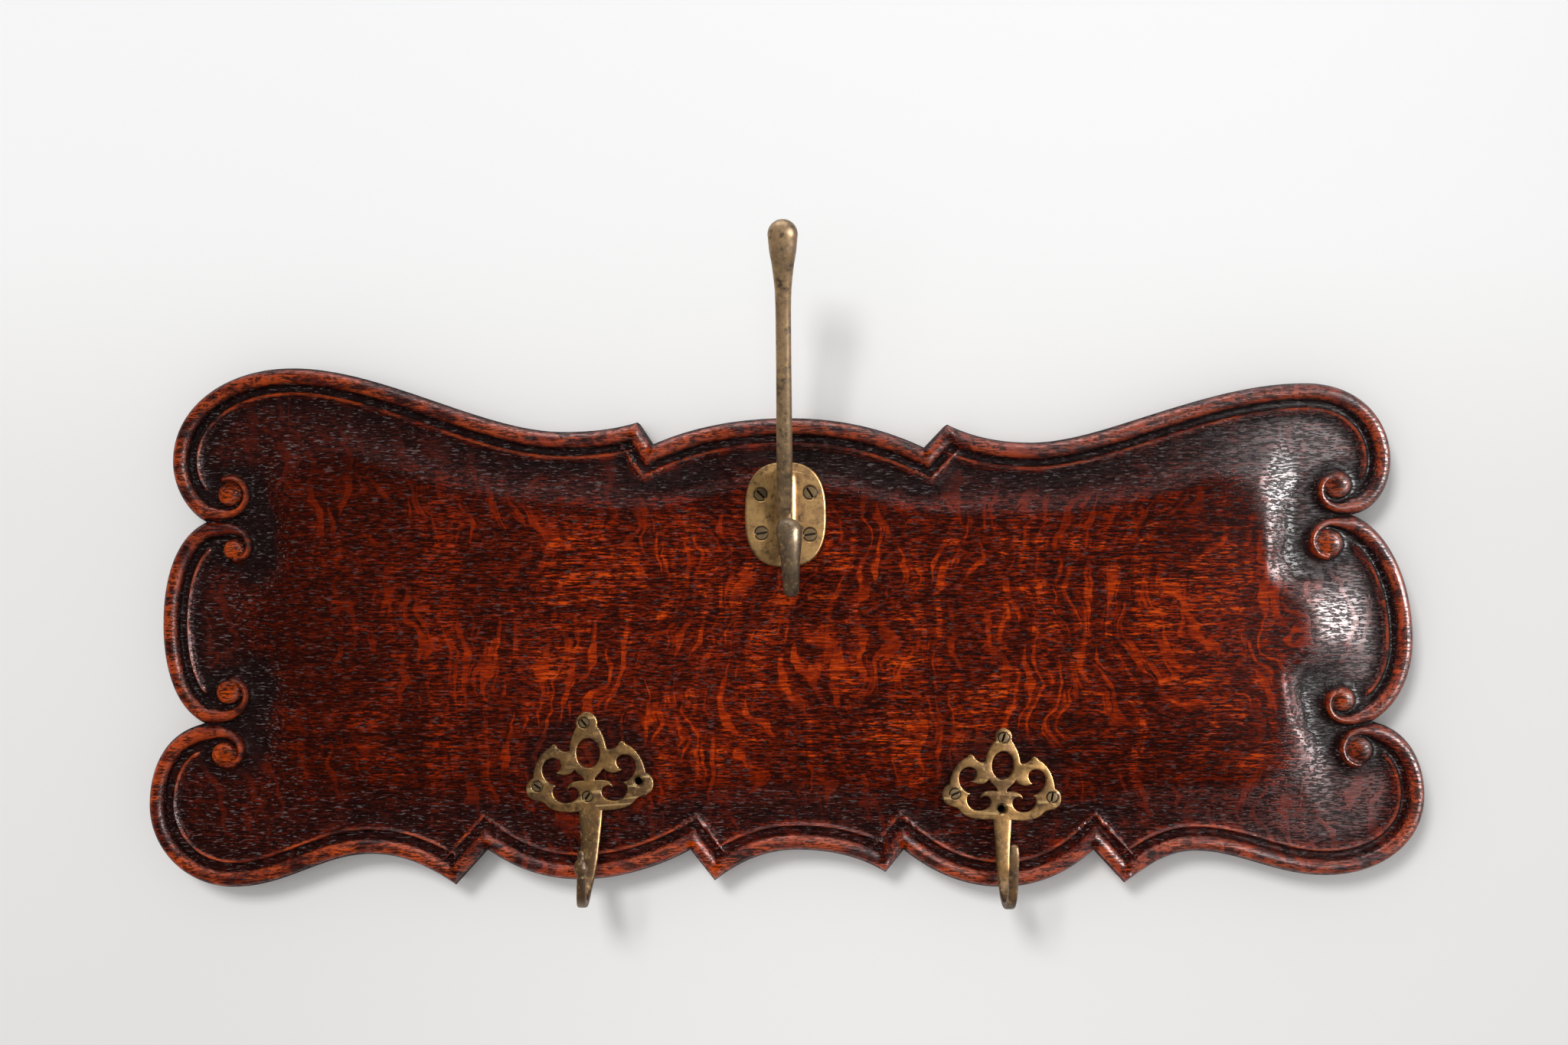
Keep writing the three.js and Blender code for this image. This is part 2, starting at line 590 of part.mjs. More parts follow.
function hatHook() {
  const ring = (inset, y) =>
    Array.from({ length: HAT_PLATE_SIDES }, (_, k) => {
      const angle = (2 * Math.PI * k) / HAT_PLATE_SIDES;
      const rounded = (v) => Math.sign(v) * Math.abs(v) ** (2 / HAT_PLATE_SQUARENESS);
      return [
        rounded(Math.cos(angle)) * (HAT_PLATE_WIDTH / 2 - inset),
        y,
        rounded(Math.sin(angle)) * (HAT_PLATE_HEIGHT / 2 - inset),
      ];
    });
  const plate = loft([
    ring(0, 0),
    ring(0, -HAT_PLATE_THICKNESS + HAT_PLATE_BEVEL),
    ring(HAT_PLATE_BEVEL, -HAT_PLATE_THICKNESS),
  ]);
  const inPlate = -HAT_PLATE_THICKNESS / 2;
  const armX = HAT_ARM_X;
  const rib = barSolid(
    [
      [inPlate - 0.4, -19, 0.7 * HAT_RIB_WIDTH, 2.4, armX],
      [inPlate - 0.9, -8, HAT_RIB_WIDTH, 4.2, armX],
      [inPlate - 0.9, 16, HAT_RIB_WIDTH, 4.2, armX],
      [inPlate - 0.3, 21, 0.85 * HAT_RIB_WIDTH, 2.2, armX],
    ],
    5,
    2.2,
  );
  const spine = barSolid(
    [
      [inPlate, -16, 5, 2, armX],
      [inPlate - 3, -8, 6.6, 7, armX],
      [inPlate - 5, 4, 7.2, 9, armX],
      [inPlate - 5, 16, 7.3, 7, armX],
      [inPlate - 2, 20, 7.3, 3, armX],
    ],
    6,
    4,
  );
  const arm = barSolid(
    [
      [inPlate - 3.5, -4, 6, 6, armX],
      [-0.19 * HAT_REACH, 8, 7, 8, armX],
      [-0.4 * HAT_REACH, 0.22 * HAT_RISE, 7.3, 8, armX],
      [-0.57 * HAT_REACH, 0.4 * HAT_RISE, 7.1, 7, armX],
      [-0.69 * HAT_REACH, 0.56 * HAT_RISE, HAT_ARM_WIDTH, HAT_ARM_DEPTH, armX],
      [-0.8 * HAT_REACH, 0.72 * HAT_RISE, HAT_ARM_WIDTH, HAT_ARM_DEPTH, armX],
      [-0.87 * HAT_REACH, 0.81 * HAT_RISE, 0.56 * HAT_KNOB_WIDTH, 0.54 * HAT_KNOB_WIDTH, armX],
      [-0.93 * HAT_REACH, 0.89 * HAT_RISE, 0.72 * HAT_KNOB_WIDTH, 0.68 * HAT_KNOB_WIDTH, armX],
      [-0.97 * HAT_REACH, 0.945 * HAT_RISE, 0.9 * HAT_KNOB_WIDTH, 0.86 * HAT_KNOB_WIDTH, armX],
      [-HAT_REACH, HAT_RISE, HAT_KNOB_WIDTH, 0.95 * HAT_KNOB_WIDTH, armX],
    ],
    22,
    2.6,
  );
  const prong = barSolid(
    [
      [inPlate - 2.5, -4, 6, 5, 0],
      [-0.24 * HAT_PRONG_REACH, -15, 6.8, 8, 0.35 * HAT_PRONG_X],
      [-0.5 * HAT_PRONG_REACH, -28.5, HAT_PRONG_WIDTH, 7.5, 0.8 * HAT_PRONG_X],
      [-0.74 * HAT_PRONG_REACH, -34, HAT_PRONG_WIDTH, 7, HAT_PRONG_X],
      [-0.92 * HAT_PRONG_REACH, -27, 0.65 * HAT_PRONG_KNOB, 7.4, 0.95 * HAT_PRONG_X],
      [-HAT_PRONG_REACH, -18, 0.77 * HAT_PRONG_KNOB, 8.4, 0.85 * HAT_PRONG_X],
      [-1.01 * HAT_PRONG_REACH, -12, 0.93 * HAT_PRONG_KNOB, 0.88 * HAT_PRONG_KNOB, 0.75 * HAT_PRONG_X],
      [-HAT_PRONG_REACH, -7.6, HAT_PRONG_KNOB, 0.95 * HAT_PRONG_KNOB, 0.65 * HAT_PRONG_X],
    ],
    16,
    2.3,
  );
  let solid = plate.add(rib).add(spine).add(arm).add(prong);
  for (const { x, z } of HAT_SCREWS) solid = solid.subtract(screwHole(HAT_SCREW, x, z));
  return solid;
}

// Right half of the pierced plate's edge, from the top of its screw lug to the stem, and the
// scroll-shaped opening beside the oval. Cubic curves again, drawn at the size named above.
// The lug at the top is as wide as its own plate needs.
const plateEdge = (lug) => [
  [0, 13.4 + lug],
  [[0.75 * lug, 13.4 + lug], [1.25 * lug, 14], [lug, 11.8]],
  [[lug + 1, 10.2], [7.4, 7], [8, 1.6]],
  [[9.6, 0.2], [11.6, 1.6], [13.2, 3]],
  [[13.6, 4.8], [15.6, 4.9], [16.4, 3.2]],
  [[20.6, 1.2], [23.6, -3.4], [24.4, -9.6]],
  [[28.4, -11.4], [28.8, -17.2], [24.6, -19]],
  [[22.6, -19.9], [20.6, -19.4], [19.2, -21.4]],
  [[16.4, -25], [9.6, -25.2], [4.6, -24.9]],
];
const PLATE_SCROLL = [
  [6.2, -6.8],
  [[8, -9.2], [11.4, -9.6], [14.2, -7.8]],
  [[12.6, -7.2], [11.2, -4.6], [12.6, -2.6]],
  [[15.2, 0.2], [20.2, -1.8], [20.2, -6.4]],
  [[20, -10.2], [17.6, -12.4], [14.6, -13.4]],
  [[17, -14.6], [16.6, -18.8], [13.2, -20.5]],
  [[9.8, -22.2], [4.8, -20.2], [5, -16.8]],
  [[5.4, -14.2], [8, -13.6], [9.8, -15.2]],
  [[9.6, -12.2], [6.4, -11.6], [2.2, -11.8]],
  [[2.2, -10.2], [4.6, -9.2], [6.2, -6.8]],
];
const SCROLL_CHORDS = 4;
const EDGE_CHORDS = 5;
const OVAL_SIDES = 20;

// The two coat hooks, as they were cast and fitted by hand. Each plate is turned a little, in
// degrees against the clock. Holes are drawn points too, and one without a name is empty.
const COAT_HOOKS = [
  {
    name: "coat_hook_left",
    x: LEFT_HOOK_X,
    z: LEFT_HOOK_Z,
    plateWidth: LEFT_PLATE_WIDTH,
    plateHeight: LEFT_PLATE_HEIGHT,
    lug: 4.4,
    turn: 3,
    drop: LEFT_HOOK_DROP,
    tip: LEFT_HOOK_TIP,
    stemWidth: LEFT_STEM_WIDTH,
    tipWidth: LEFT_TIP_WIDTH,
    stemX: 1.2,
    bendX: -0.2,
    prongX: 0.9,
    holes: [
      { name: "coat_hook_left_screw_top", at: [-1.2, 13.3], slot: -50 },
      { name: "coat_hook_left_screw_side", at: [-22.7, -13.1], slot: -35 },
      { name: "coat_hook_left_screw_low", at: [-1.3, -18.6], slot: 55 },
      { at: [21.1, -13.2] },
    ],
  },
  {
    name: "coat_hook_right",
    x: RIGHT_HOOK_X,
    z: RIGHT_HOOK_Z,
    plateWidth: RIGHT_PLATE_WIDTH,
    plateHeight: RIGHT_PLATE_HEIGHT,
    lug: 3.6,
    turn: -2,
    drop: RIGHT_HOOK_DROP,
    tip: RIGHT_HOOK_TIP,
    stemWidth: RIGHT_STEM_WIDTH,
    tipWidth: RIGHT_TIP_WIDTH,
    stemX: -0.2,
    bendX: 0,
    prongX: 0.5,
    holes: [
      { name: "coat_hook_right_screw_top", at: [-0.3, 12.6], slot: 70 },
      { name: "coat_hook_right_screw_left", at: [-21.9, -13.7], slot: 25 },
      { name: "coat_hook_right_screw_right", at: [23.2, -13.8], slot: 80 },
      { at: [0, -19.9] },
    ],
  },
];

// A drawn point at its place on a plate's own size and turn.
function onPlate(hook, [x, z]) {
  const wide = (x * hook.plateWidth) / DRAWN_PLATE_WIDTH;
  const high = (z * hook.plateHeight) / DRAWN_PLATE_HEIGHT;
  return new THREE.Vector2(wide, high).rotateAround(new THREE.Vector2(), radians(hook.turn));
}

// Points along a run of cubic curves.
function curvePoints(runs, chords) {
  const points = [new THREE.Vector2(...runs[0])];
  for (const run of runs.slice(1)) {
    const handles = run.map((p) => new THREE.Vector2(...p));
    const curve = new THREE.CubicBezierCurve(points.at(-1), ...handles);
    points.push(...curve.getPoints(chords).slice(1));
  }
  return points.map((p) => [p.x, p.y]);
}

function piercedPlate(hook) {
  const half = curvePoints(plateEdge(hook.lug), EDGE_CHORDS);
  const mirrored = half.slice(1).reverse().map(([x, z]) => [-x, z]);
  const scroll = curvePoints(PLATE_SCROLL, SCROLL_CHORDS).slice(1);
  const oval = Array.from({ length: OVAL_SIDES }, (_, k) => {
    const angle = (2 * Math.PI * k) / OVAL_SIDES;
    return [OVAL_HALF_WIDTH * Math.cos(angle), OVAL_HALF_HEIGHT * Math.sin(angle)];
  });
  const placed = (points) => points.map((p) => onPlate(hook, p));
  const shape = new THREE.Shape(placed([...half, ...mirrored].reverse()));
  for (const opening of [scroll, scroll.map(([x, z]) => [-x, z]), oval]) {
    shape.holes.push(new THREE.Path(placed(opening)));
  }
  const blank = new THREE.ExtrudeGeometry(shape, { depth: COAT_PLATE_THICKNESS, bevelEnabled: false });
  blank.rotateX(Math.PI / 2);
  return solidOf(blank);
}

// A flat stem that leaves the plate's foot, goes down and bends forward and up into the prong.
function coatHook(hook, holes) {
  const { drop, tip, stemWidth, stemX, bendX, prongX, tipWidth } = hook;
  const top = (plateEdge(hook.lug).at(-1)[2][1] * hook.plateHeight) / DRAWN_PLATE_HEIGHT;
  const below = (share) => top - share * (drop + top);
  const middle = -COAT_PLATE_THICKNESS / 2;
  const reach = COAT_HOOK_REACH;
  const prongWidth = COAT_PRONG_WIDTH;
  const stem = barSolid(
    [
      [middle, top + 3, stemWidth, COAT_PLATE_THICKNESS, stemX],
      [middle - 0.2, top - 3, 0.96 * stemWidth, COAT_PLATE_THICKNESS + 0.3, stemX],
      [middle - 1.2, below(0.3), 0.82 * stemWidth, 3, stemX],
      [-0.13 * reach, below(0.62), 0.71 * stemWidth, 3.4, (stemX + bendX) / 2],
      [-0.3 * reach, -drop + 5.5, 1.3 * prongWidth, 3.8, bendX],
      [-0.55 * reach, -drop + 2, 1.15 * prongWidth, 3.8, bendX],
      [-0.84 * reach, -drop + 6.5, prongWidth, 3.6, (prongX + bendX) / 2],
      [-0.98 * reach, -tip - 8, prongWidth, 3.4, prongX],
      [-reach, -tip - 2.6, tipWidth, 0.85 * tipWidth, prongX],
      [-reach, -tip, 0.88 * tipWidth, 0.8 * tipWidth, prongX],
    ],
    20,
    4,
  );
  let solid = piercedPlate(hook).add(stem);
  for (const { x, z } of holes) solid = solid.subtract(screwHole(COAT_SCREW, x, z));
  return solid;
}

const rack = new THREE.Group();

function addMesh(parent, name, geometry, material) {
  const mesh = new THREE.Mesh(geometry, material);
  mesh.name = name;
  parent.add(mesh);
  return mesh;
}

// A group whose origin is on the raised field, one seat gap in front of the wood.
function seatOnBoard(x, z, tilt = 0) {
  const seat = new THREE.Group();
  const [bx, bz] = onBoard([x, z]);
  seat.position.set(bx, -(BOARD_THICKNESS + SEAT_GAP), bz);
  seat.rotation.y = radians(tilt);
  rack.add(seat);
  return seat;
}

const pilots = [];

// Puts a screw in a plate's hole, and notes where it enters the wood.
function addScrew(seat, size, length, { name, x, z, slot }) {
  const { head, shank, thickness } = size;
  const spot = new THREE.Vector3(x, 0, z).applyEuler(seat.rotation).add(seat.position);
  const depth = length - thickness;
  pilots.push({ x: spot.x, z: spot.z, radius: shank / 2 + SEAT_GAP, depth: depth + 2 * SEAT_GAP });
  if (!name) return;
  const mesh = addMesh(seat, name, geometryOf(screwSolid(head, shank, length)), DULL_BRASS);
  mesh.position.set(x, -thickness + HEAD_RECESS, z);
  mesh.rotation.y = radians(-slot);
}

const hatSeat = seatOnBoard(HAT_HOOK_X, HAT_HOOK_Z, HAT_HOOK_TILT);
addMesh(hatSeat, "hat_hook", geometryOf(hatHook()), BRASS);
for (const screw of HAT_SCREWS) {
  addScrew(hatSeat, HAT_SCREW, HAT_SCREW_LENGTH, screw);
}

for (const hook of COAT_HOOKS) {
  const seat = seatOnBoard(hook.x, hook.z);
  const holes = hook.holes.map(({ name, at, slot }) => {
    const spot = onPlate(hook, at);
    return { name, x: spot.x, z: spot.y, slot };
  });
  addMesh(seat, hook.name, geometryOf(coatHook(hook, holes)), BRASS);
  for (const hole of holes) {
    addScrew(seat, COAT_SCREW, COAT_SCREW_LENGTH, hole);
  }
}

function boardSolid() {
  const edges = MOULDINGS.map(({ edge }) => edgePoints(edge));
  const outline = edges.flatMap((points) => points.slice(1));
  const shape = new THREE.Shape(outline.map((p) => new THREE.Vector2(...p)));
  const blank = new THREE.ExtrudeGeometry(shape, {
    depth: BOARD_THICKNESS - CARVING_DEPTH,
    bevelEnabled: false,
  });
  blank.rotateX(Math.PI / 2);
  let board = solidOf(blank).add(fieldSolid(outline));
  for (const moulding of MOULDINGS) {
    board = board.add(beadSolid(moulding)).add(filletSolid(moulding));
    board = board.add(eyeSolid(moulding.first)).add(eyeSolid(moulding.last));
  }
  for (const { x, z, radius, depth } of pilots) {
    board = board.subtract(bore(x, z, radius, -BOARD_THICKNESS - 1, -BOARD_THICKNESS + depth));
  }
  for (const side of [-1, 1]) {
    board = board.subtract(keyholeSolid(...onBoard([side * KEYHOLE_X, KEYHOLE_Z])));
  }
  return board;
}

addMesh(rack, "board", geometryOf(boardSolid()), OAK);

export default rack;
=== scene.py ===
"""Dresses the carved oak coat rack: a fine carved board, smooth cast hooks, oak and old brass."""
import math
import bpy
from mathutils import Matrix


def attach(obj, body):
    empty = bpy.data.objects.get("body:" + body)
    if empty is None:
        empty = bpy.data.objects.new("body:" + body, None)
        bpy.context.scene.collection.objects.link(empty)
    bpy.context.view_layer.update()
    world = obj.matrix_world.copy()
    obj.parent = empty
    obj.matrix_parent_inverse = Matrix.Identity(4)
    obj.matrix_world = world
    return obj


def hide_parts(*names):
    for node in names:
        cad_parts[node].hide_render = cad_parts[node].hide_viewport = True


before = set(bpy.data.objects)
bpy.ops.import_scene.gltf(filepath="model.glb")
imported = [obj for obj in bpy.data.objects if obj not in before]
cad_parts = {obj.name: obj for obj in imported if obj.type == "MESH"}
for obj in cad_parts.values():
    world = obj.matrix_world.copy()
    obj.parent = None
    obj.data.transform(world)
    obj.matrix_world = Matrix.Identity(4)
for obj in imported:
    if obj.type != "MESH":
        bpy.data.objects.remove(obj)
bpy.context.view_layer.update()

from types import SimpleNamespace

import bmesh
import bpy
import numpy as np
from mathutils import Vector
from mathutils.geometry import delaunay_2d_cdt, tessellate_polygon

# Sizes are in millimetres in the frame's axes, and turned into metres when a mesh is made.
MM = 0.001

# Board. The border is a bead with a thin fillet inside it, which both run into volutes.
BOARD_THICKNESS = 22.0
CARVING_DEPTH = 5.5
GROUND = BOARD_THICKNESS - CARVING_DEPTH
BEAD_WIDTH = 8.0
BEAD_DROP = 0.4
BEAD_STEP = 0.4
BEAD_ROUNDNESS = 0.4
FILLET_OFFSET = 12.0
FILLET_HEIGHT = 2.4
FILLET_OUTER_SLOPE = 1.4
FILLET_INNER_SLOPE = 3.0
FILLET_END_SHARE = 0.2
FILLET_FADE_STATIONS = 7
EYE_HEIGHT = 5.0
EYE_FLATNESS = 2.4
EYE_ROUNDNESS = 0.4
VOLUTE_BEAD_WIDTH = 3.4
VOLUTE_BEAD_SHARE = 0.72

# Raised field. Rays run out from a level spine and in two fans, and each stops short of the border.
FIELD_GAP = 16.0
VOLUTE_GAP = 3.5
FIELD_SLOPE = 25.0
FIELD_SLOPE_AT_HOOK = 8.0
FIELD_SLOPE_LEAST = 6.0
HOOK_SPREAD = 45.0
SPINE_HALF = 190.0
SPINE_STEP = 10.0
FAN_STEP = 5.0
RAY_LENGTHS = (2.0, 150.0)
FOOT_SMOOTHING = 1
TOP_SMOOTHING = 4
SOFTENING = 1.2
HOLLOW_FILL = 0.7
# Each hook's x, and whether it is on the upper half or the lower one
HOOK_PLACES = ((-0.3, 1), (-93.0, -1), (101.0, -1))

# Keyhole slots in the back
KEYHOLE_X = 180.0
KEYHOLE_Z = 45.0
KEYHOLE_ENTRY_RADIUS = 6.0
KEYHOLE_SLOT_WIDTH = 5.0
KEYHOLE_RISE = 14.0
KEYHOLE_DEPTH = 11.0
KEYHOLE_LIP = 4.0
KEYHOLE_LANE_INSET = 1.0
KEYHOLE_PAST = 0.5

# Fit between pieces, and how near a vertex is to a line when it counts as on it
TOUCH = 0.01
SEAT_GAP = 0.3
SEAT = BOARD_THICKNESS + SEAT_GAP
HEAD_CLEARANCE = 0.45
CUT_PAST = 1.0

# Hat hook, measured from the middle of its plate's back
HAT_HOOK_X = -0.66
HAT_HOOK_Z = 53.5
HAT_HOOK_TILT = -0.5
HAT_PLATE_WIDTH = 38.0
HAT_PLATE_HEIGHT = 49.0
HAT_PLATE_THICKNESS = 2.5
HAT_PLATE_BEVEL = 1.0
HAT_PLATE_SQUARENESS = 2.6
HAT_SCREW = dict(head=6.5, shank=3.6, length=17.0, thickness=HAT_PLATE_THICKNESS)
HAT_RIB_WIDTH = 11.5
HAT_ARM_X = -0.3
HAT_KNOB_WIDTH = 13.3
HAT_ARM_WIDTH = 6.9
HAT_ARM_DEPTH = 6.6
HAT_PRONG_X = 2.2
HAT_PRONG_KNOB = 11.8
HAT_PRONG_WIDTH = 7.1
HAT_REACH = 58.0
HAT_RISE = 122.0
HAT_PRONG_REACH = 42.0
# Place, x, z and the angle of the slot of each screw
HAT_SCREWS = (
    ("upper_left", -11.6, 9.6, -45),
    ("upper_right", 11.4, 10.2, -58),
    ("lower_left", -11.4, -8.6, 10),
    ("lower_right", 11.2, -9.4, 9),
)

# Coat hooks, measured from the middle of each plate's oval opening
COAT_PLATE_THICKNESS = 2.2
COAT_PLATE_BEVEL = 0.55
COAT_SCREW = dict(head=5.2, shank=3.0, length=14.0, thickness=COAT_PLATE_THICKNESS)
COAT_HOOK_REACH = 39.0
DRAWN_PLATE_WIDTH = 55.0
DRAWN_PLATE_HEIGHT = 42.0
OVAL_HALF_SIZE = (5.1, 6.4)
PLATE_FOOT = -24.9
COAT_PRONG_WIDTH = 4.3
# The bud's width at some heights below the hook's tip
BUD_PROFILE = ((-10, 3.2), (-8.8, 3.4), (-7, 5.4), (-4.9, 6.3), (-2.7, 5.3), (-1.3, 3.6), (-0.7, 3.2))
# Each hook's holes have a place, a drawn point and the angle of the slot, and one has no screw.
COAT_HOOKS = (
    dict(
        name="coat_hook_left", x=-93.0, z=-58.1, turn=3, bud=True,
        plate_width=59.5, plate_height=45.5, lug=4.4,
        drop=67.8, tip=41.2, stem_width=11.2, stem_x=1.2, bend_x=-0.2, prong_x=0.9,
        holes=(
            ("top", (-1.2, 13.3), -50),
            ("side", (-22.7, -13.1), -35),
            ("low", (-1.3, -18.6), 55),
            (None, (21.1, -13.2), 0),
        ),
    ),
    dict(
        name="coat_hook_right", x=101.0, z=-63.8, turn=-2, bud=False,
        plate_width=55.5, plate_height=43.0, lug=3.6,
        drop=62.8, tip=32.2, stem_width=8.6, tip_width=4.4, stem_x=-0.2, bend_x=0.0, prong_x=0.5,
        holes=(
            ("top", (-0.3, 12.6), 70),
            ("left", (-21.9, -13.7), 25),
            ("right", (23.2, -13.8), 80),
            (None, (0, -19.9), 0),
        ),
    ),
)
PLATE_SCROLL = (
    (6.2, -6.8),
    ((8, -9.2), (11.4, -9.6), (14.2, -7.8)),
    ((12.6, -7.2), (11.2, -4.6), (12.6, -2.6)),
    ((15.2, 0.2), (20.2, -1.8), (20.2, -6.4)),
    ((20, -10.2), (17.6, -12.4), (14.6, -13.4)),
    ((17, -14.6), (16.6, -18.8), (13.2, -20.5)),
    ((9.8, -22.2), (4.8, -20.2), (5, -16.8)),
    ((5.4, -14.2), (8, -13.6), (9.8, -15.2)),
    ((9.6, -12.2), (6.4, -11.6), (2.2, -11.8)),
    ((2.2, -10.2), (4.6, -9.2), (6.2, -6.8)),
)

# Screws
SLOT_WIDTH = 1.0
SLOT_DEPTH = 0.9
HEAD_RECESS = 0.1
SCREW_RIM = 0.3
SCREW_RIM_ROUNDING = 0.3
SCREW_CROWN = 0.02
SCREW_CORE = 0.05
# Below this depth in the slot, and on the rim, a screw is made dark as dirt and painted shade.
SLOT_GRIME_AND_SHADE_DEPTH = 0.05

# Fineness of the hooks. Turns are in degrees, and edges with more than the last two stay sharp.
BAR_SIDES = 32
BAR_STEPS = 72
BAR_CAP_TURNS = (8, 16, 25, 34, 43, 52, 61, 70, 78, 84)
TURNED_SIDES = 36
HAT_PLATE_SIDES = 120
HAT_BEVEL_TURNS = (0, 20, 40, 60, 80, 90)
COAT_BEVEL_TURNS = (0, 30, 60, 90)
PLATE_CHORDS = 12
SCROLL_CHORDS = 10
OVAL_SIDES = 48
METAL_SHARP_ANGLE = 32
BOARD_SHARP_ANGLE = 38

# Fineness of the carved surface
STATION_STEP = 1.2
ROUGH_STEP = 5.0
CURVE_SHARE = 0.95
CURL_EXTRA_STATIONS = 8
MITRE_LIMIT = 0.4
STRIP_OVERLAP = 0.02
RASTER_STEP = 0.25
EDGE_MARGIN = 2.0
NEAR_EDGE = 1.5
FACE_DEPTH_MARGIN = 0.5
GRID_STEP = 1.5
GRID_ROW_SHARE = 0.87
LEAST_SPACING = 0.3
WELD_DISTANCE = 1e-5
MOULDING_OFFSETS = (
    0.45, 0.9, 1.5, 2.3, 3.3, 4.3, 5.3, 6.2, 7.0, 7.6, 8.0, 8.6, 9.4, 10.3, 10.8,
    11.5, 12.0, 12.5, 13.4, 14.4, 15.2, 16.2,
)
BEAD_SHARES = (0.0, 0.06, 0.18, 0.32, 0.5, 0.68, 0.82, 0.94, 1.0)
EYE_SHARES = (0.15, 0.3, 0.45, 0.6, 0.72, 0.82, 0.9, 0.96, 1.0, 1.06, 1.14)
EYE_SIDES = 40

# How far round a place the relief is averaged for the looks, and what stands where there is no relief
RELIEF_REACH = dict(fine=1.6, broad=6.0, inner=14.0)
OFF_FACE = dict(fine=0.15, broad=0.1, level=0.85, inner=0.6)

# Camera and wall
CAMERA_PLACE = (-1.4, -867, 49.8)
SENSOR_WIDTH = 36
LENS_LENGTH = 41.4
WALL_HALF_WIDTH = 1600
WALL_LOW = -1100
WALL_HIGH = 1300
WALL_GAP = 0.6

# Lamps: name, place, aim and size in metres, watts, spread in degrees and the rays that miss them
LAMPS = (
    ("key", (-0.6, -1.9, 0.9), (0, 0, 0), (0.5, 0.5), 20.5, 180, "visible_glossy"),
    ("fill", (-0.6, -2.1, 0.3), (0, 0, 0), (2.0, 1.6), 12, 180, "visible_glossy"),
    ("sheen", (1.35, -1.1, 0.15), (0.27, 0, 0), (0.9, 1.4), 12, 26, "visible_diffuse"),
    ("gleam", (-0.1, -0.3, 1.6), (0, 0, 0), (1.4, 0.5), 20, 180, "visible_diffuse"),
)
ROOM_LIGHT = 0.42

# Colours as a screen shows them, from 0 to 255. A pair is mixed by a patina.
# Of the oak colours, worn also paints light low on the board, grime also paints shade, and dust also paints
# glints.
OAK = dict(
    dark=(44, 10, 4), warm=(108, 28, 8), red=(166, 46, 7), orange=(198, 70, 12), worn_and_painted_light=(190, 72, 14),
    eye=(184, 74, 22), grime_and_shade=(24, 18, 18), pore=(22, 9, 8), dust_and_glints=(108, 98, 98),
)
# Of the brass colours, hole paints shade in empty holes, edge paints highlights on edges, and grime also
# paints shade in the screws' slots and rims.
BRASS = dict(
    golden=((186, 146, 92), (130, 98, 62)),
    brown=((160, 130, 94), (118, 96, 70)),
    olive=((112, 92, 68), (78, 62, 46)),
    rusty=((128, 90, 44), (80, 54, 26)),
    screw=((150, 124, 86), (104, 84, 60)),
    stem=(84, 58, 34), hole=(22, 16, 12), dull=(80, 60, 40), bright=(206, 166, 102),
    stain=(52, 38, 27), edge=(226, 190, 132), grime_and_shade=(22, 15, 11),
)
# The wall's colours low and high, each from the left to the right: painted shade darkens it lower down and to
# the left.
WALL_LOWER = ((229, 227, 225), (246, 244, 242))
WALL_UPPER = ((236, 236, 236), (254, 254, 254))

# How often the oak's figure sways in a metre, and how far along x, y and z
OAK_WAVES = ((9, (0.1, 0.0, 0.02)), (55, (0.018, 0.0, 0.006)))

# How far below its oval a coat hook's plate has its middle, and the half size of the darker patch round it,
# in plate sizes
DARK_PATCH_DROP = 5
DARK_PATCH_SHARES = (0.53, 0.5)

# Painted shade in an empty hole: from how far off its middle to where it grows dark
HOLE_SHADE = (2.7, 2.2)

# How many times steeper than its dome the colour of an eye fades in
EYE_FADE = 3

# Which sockets of a mix node take and give colours
MIX_COLOUR_SOCKETS = (6, 7, 2)

# The board's outline, clockwise: points, and curves with two handles and an end
TOP_EDGE = (
    (-273.5, 50),
    ((-280.5, 53), (-289.5, 64), (-289.5, 78.5)),
    ((-289.5, 104), (-265.5, 122.5), (-233, 122.5)),
    ((-190.5, 122.5), (-143.5, 92.5), (-105.5, 92.5)),
    ((-91.5, 92.5), (-80.5, 94), (-70.5, 97)),
    (-63.5, 86.5),
    ((-44.5, 95), (-22.5, 99), (0.5, 99)),
    ((23, 99), (44, 95), (65, 85)),
    (75.5, 96),
    ((85.5, 91), (98, 87.5), (115, 87.5)),
    ((149.5, 87.5), (196.5, 115.5), (244.5, 115.5)),
    ((269.5, 115.5), (284.5, 99), (284.5, 79.5)),
    ((284.5, 65), (276.5, 55), (266, 53.5)),
)
RIGHT_EDGE = (
    (266, 53.5),
    ((283, 47.5), (295, 23.5), (295, -5.5)),
    ((295, -23.5), (287, -38), (275.5, -44)),
)
BOTTOM_EDGE = (
    (275.5, -44),
    ((292, -47), (300.5, -61.5), (300.5, -78.5)),
    ((300.5, -101), (280.5, -116.5), (254, -116.5)),
    ((230, -116.5), (213.5, -105), (192.5, -105)),
    ((178, -105), (168.5, -113.5), (159, -120)),
    (144.5, -104.5),
    ((132.5, -115.5), (118, -122), (101, -122)),
    ((84.5, -122), (69.5, -116), (55, -104.5)),
    (46.5, -115),
    ((33, -107), (19, -104.5), (4.5, -104.5)),
    ((-10, -104.5), (-22.5, -110), (-34, -119)),
    (-45.5, -104.5),
    ((-57, -111), (-77, -118.5), (-97.5, -118.5)),
    ((-116.5, -118.5), (-130, -112), (-141, -104.5)),
    (-156, -121),
    ((-169, -112), (-181.5, -106.5), (-196, -106.5)),
    ((-219.5, -106.5), (-235.5, -122), (-261, -122)),
    ((-284.5, -122), (-300.5, -103), (-300.5, -83)),
    ((-300.5, -63), (-291, -48), (-274, -45)),
)
LEFT_EDGE = (
    (-274, -45),
    ((-287, -39.5), (-294, -21.5), (-294, 2)),
    ((-294, 24.5), (-288, 43.5), (-273.5, 50)),
)


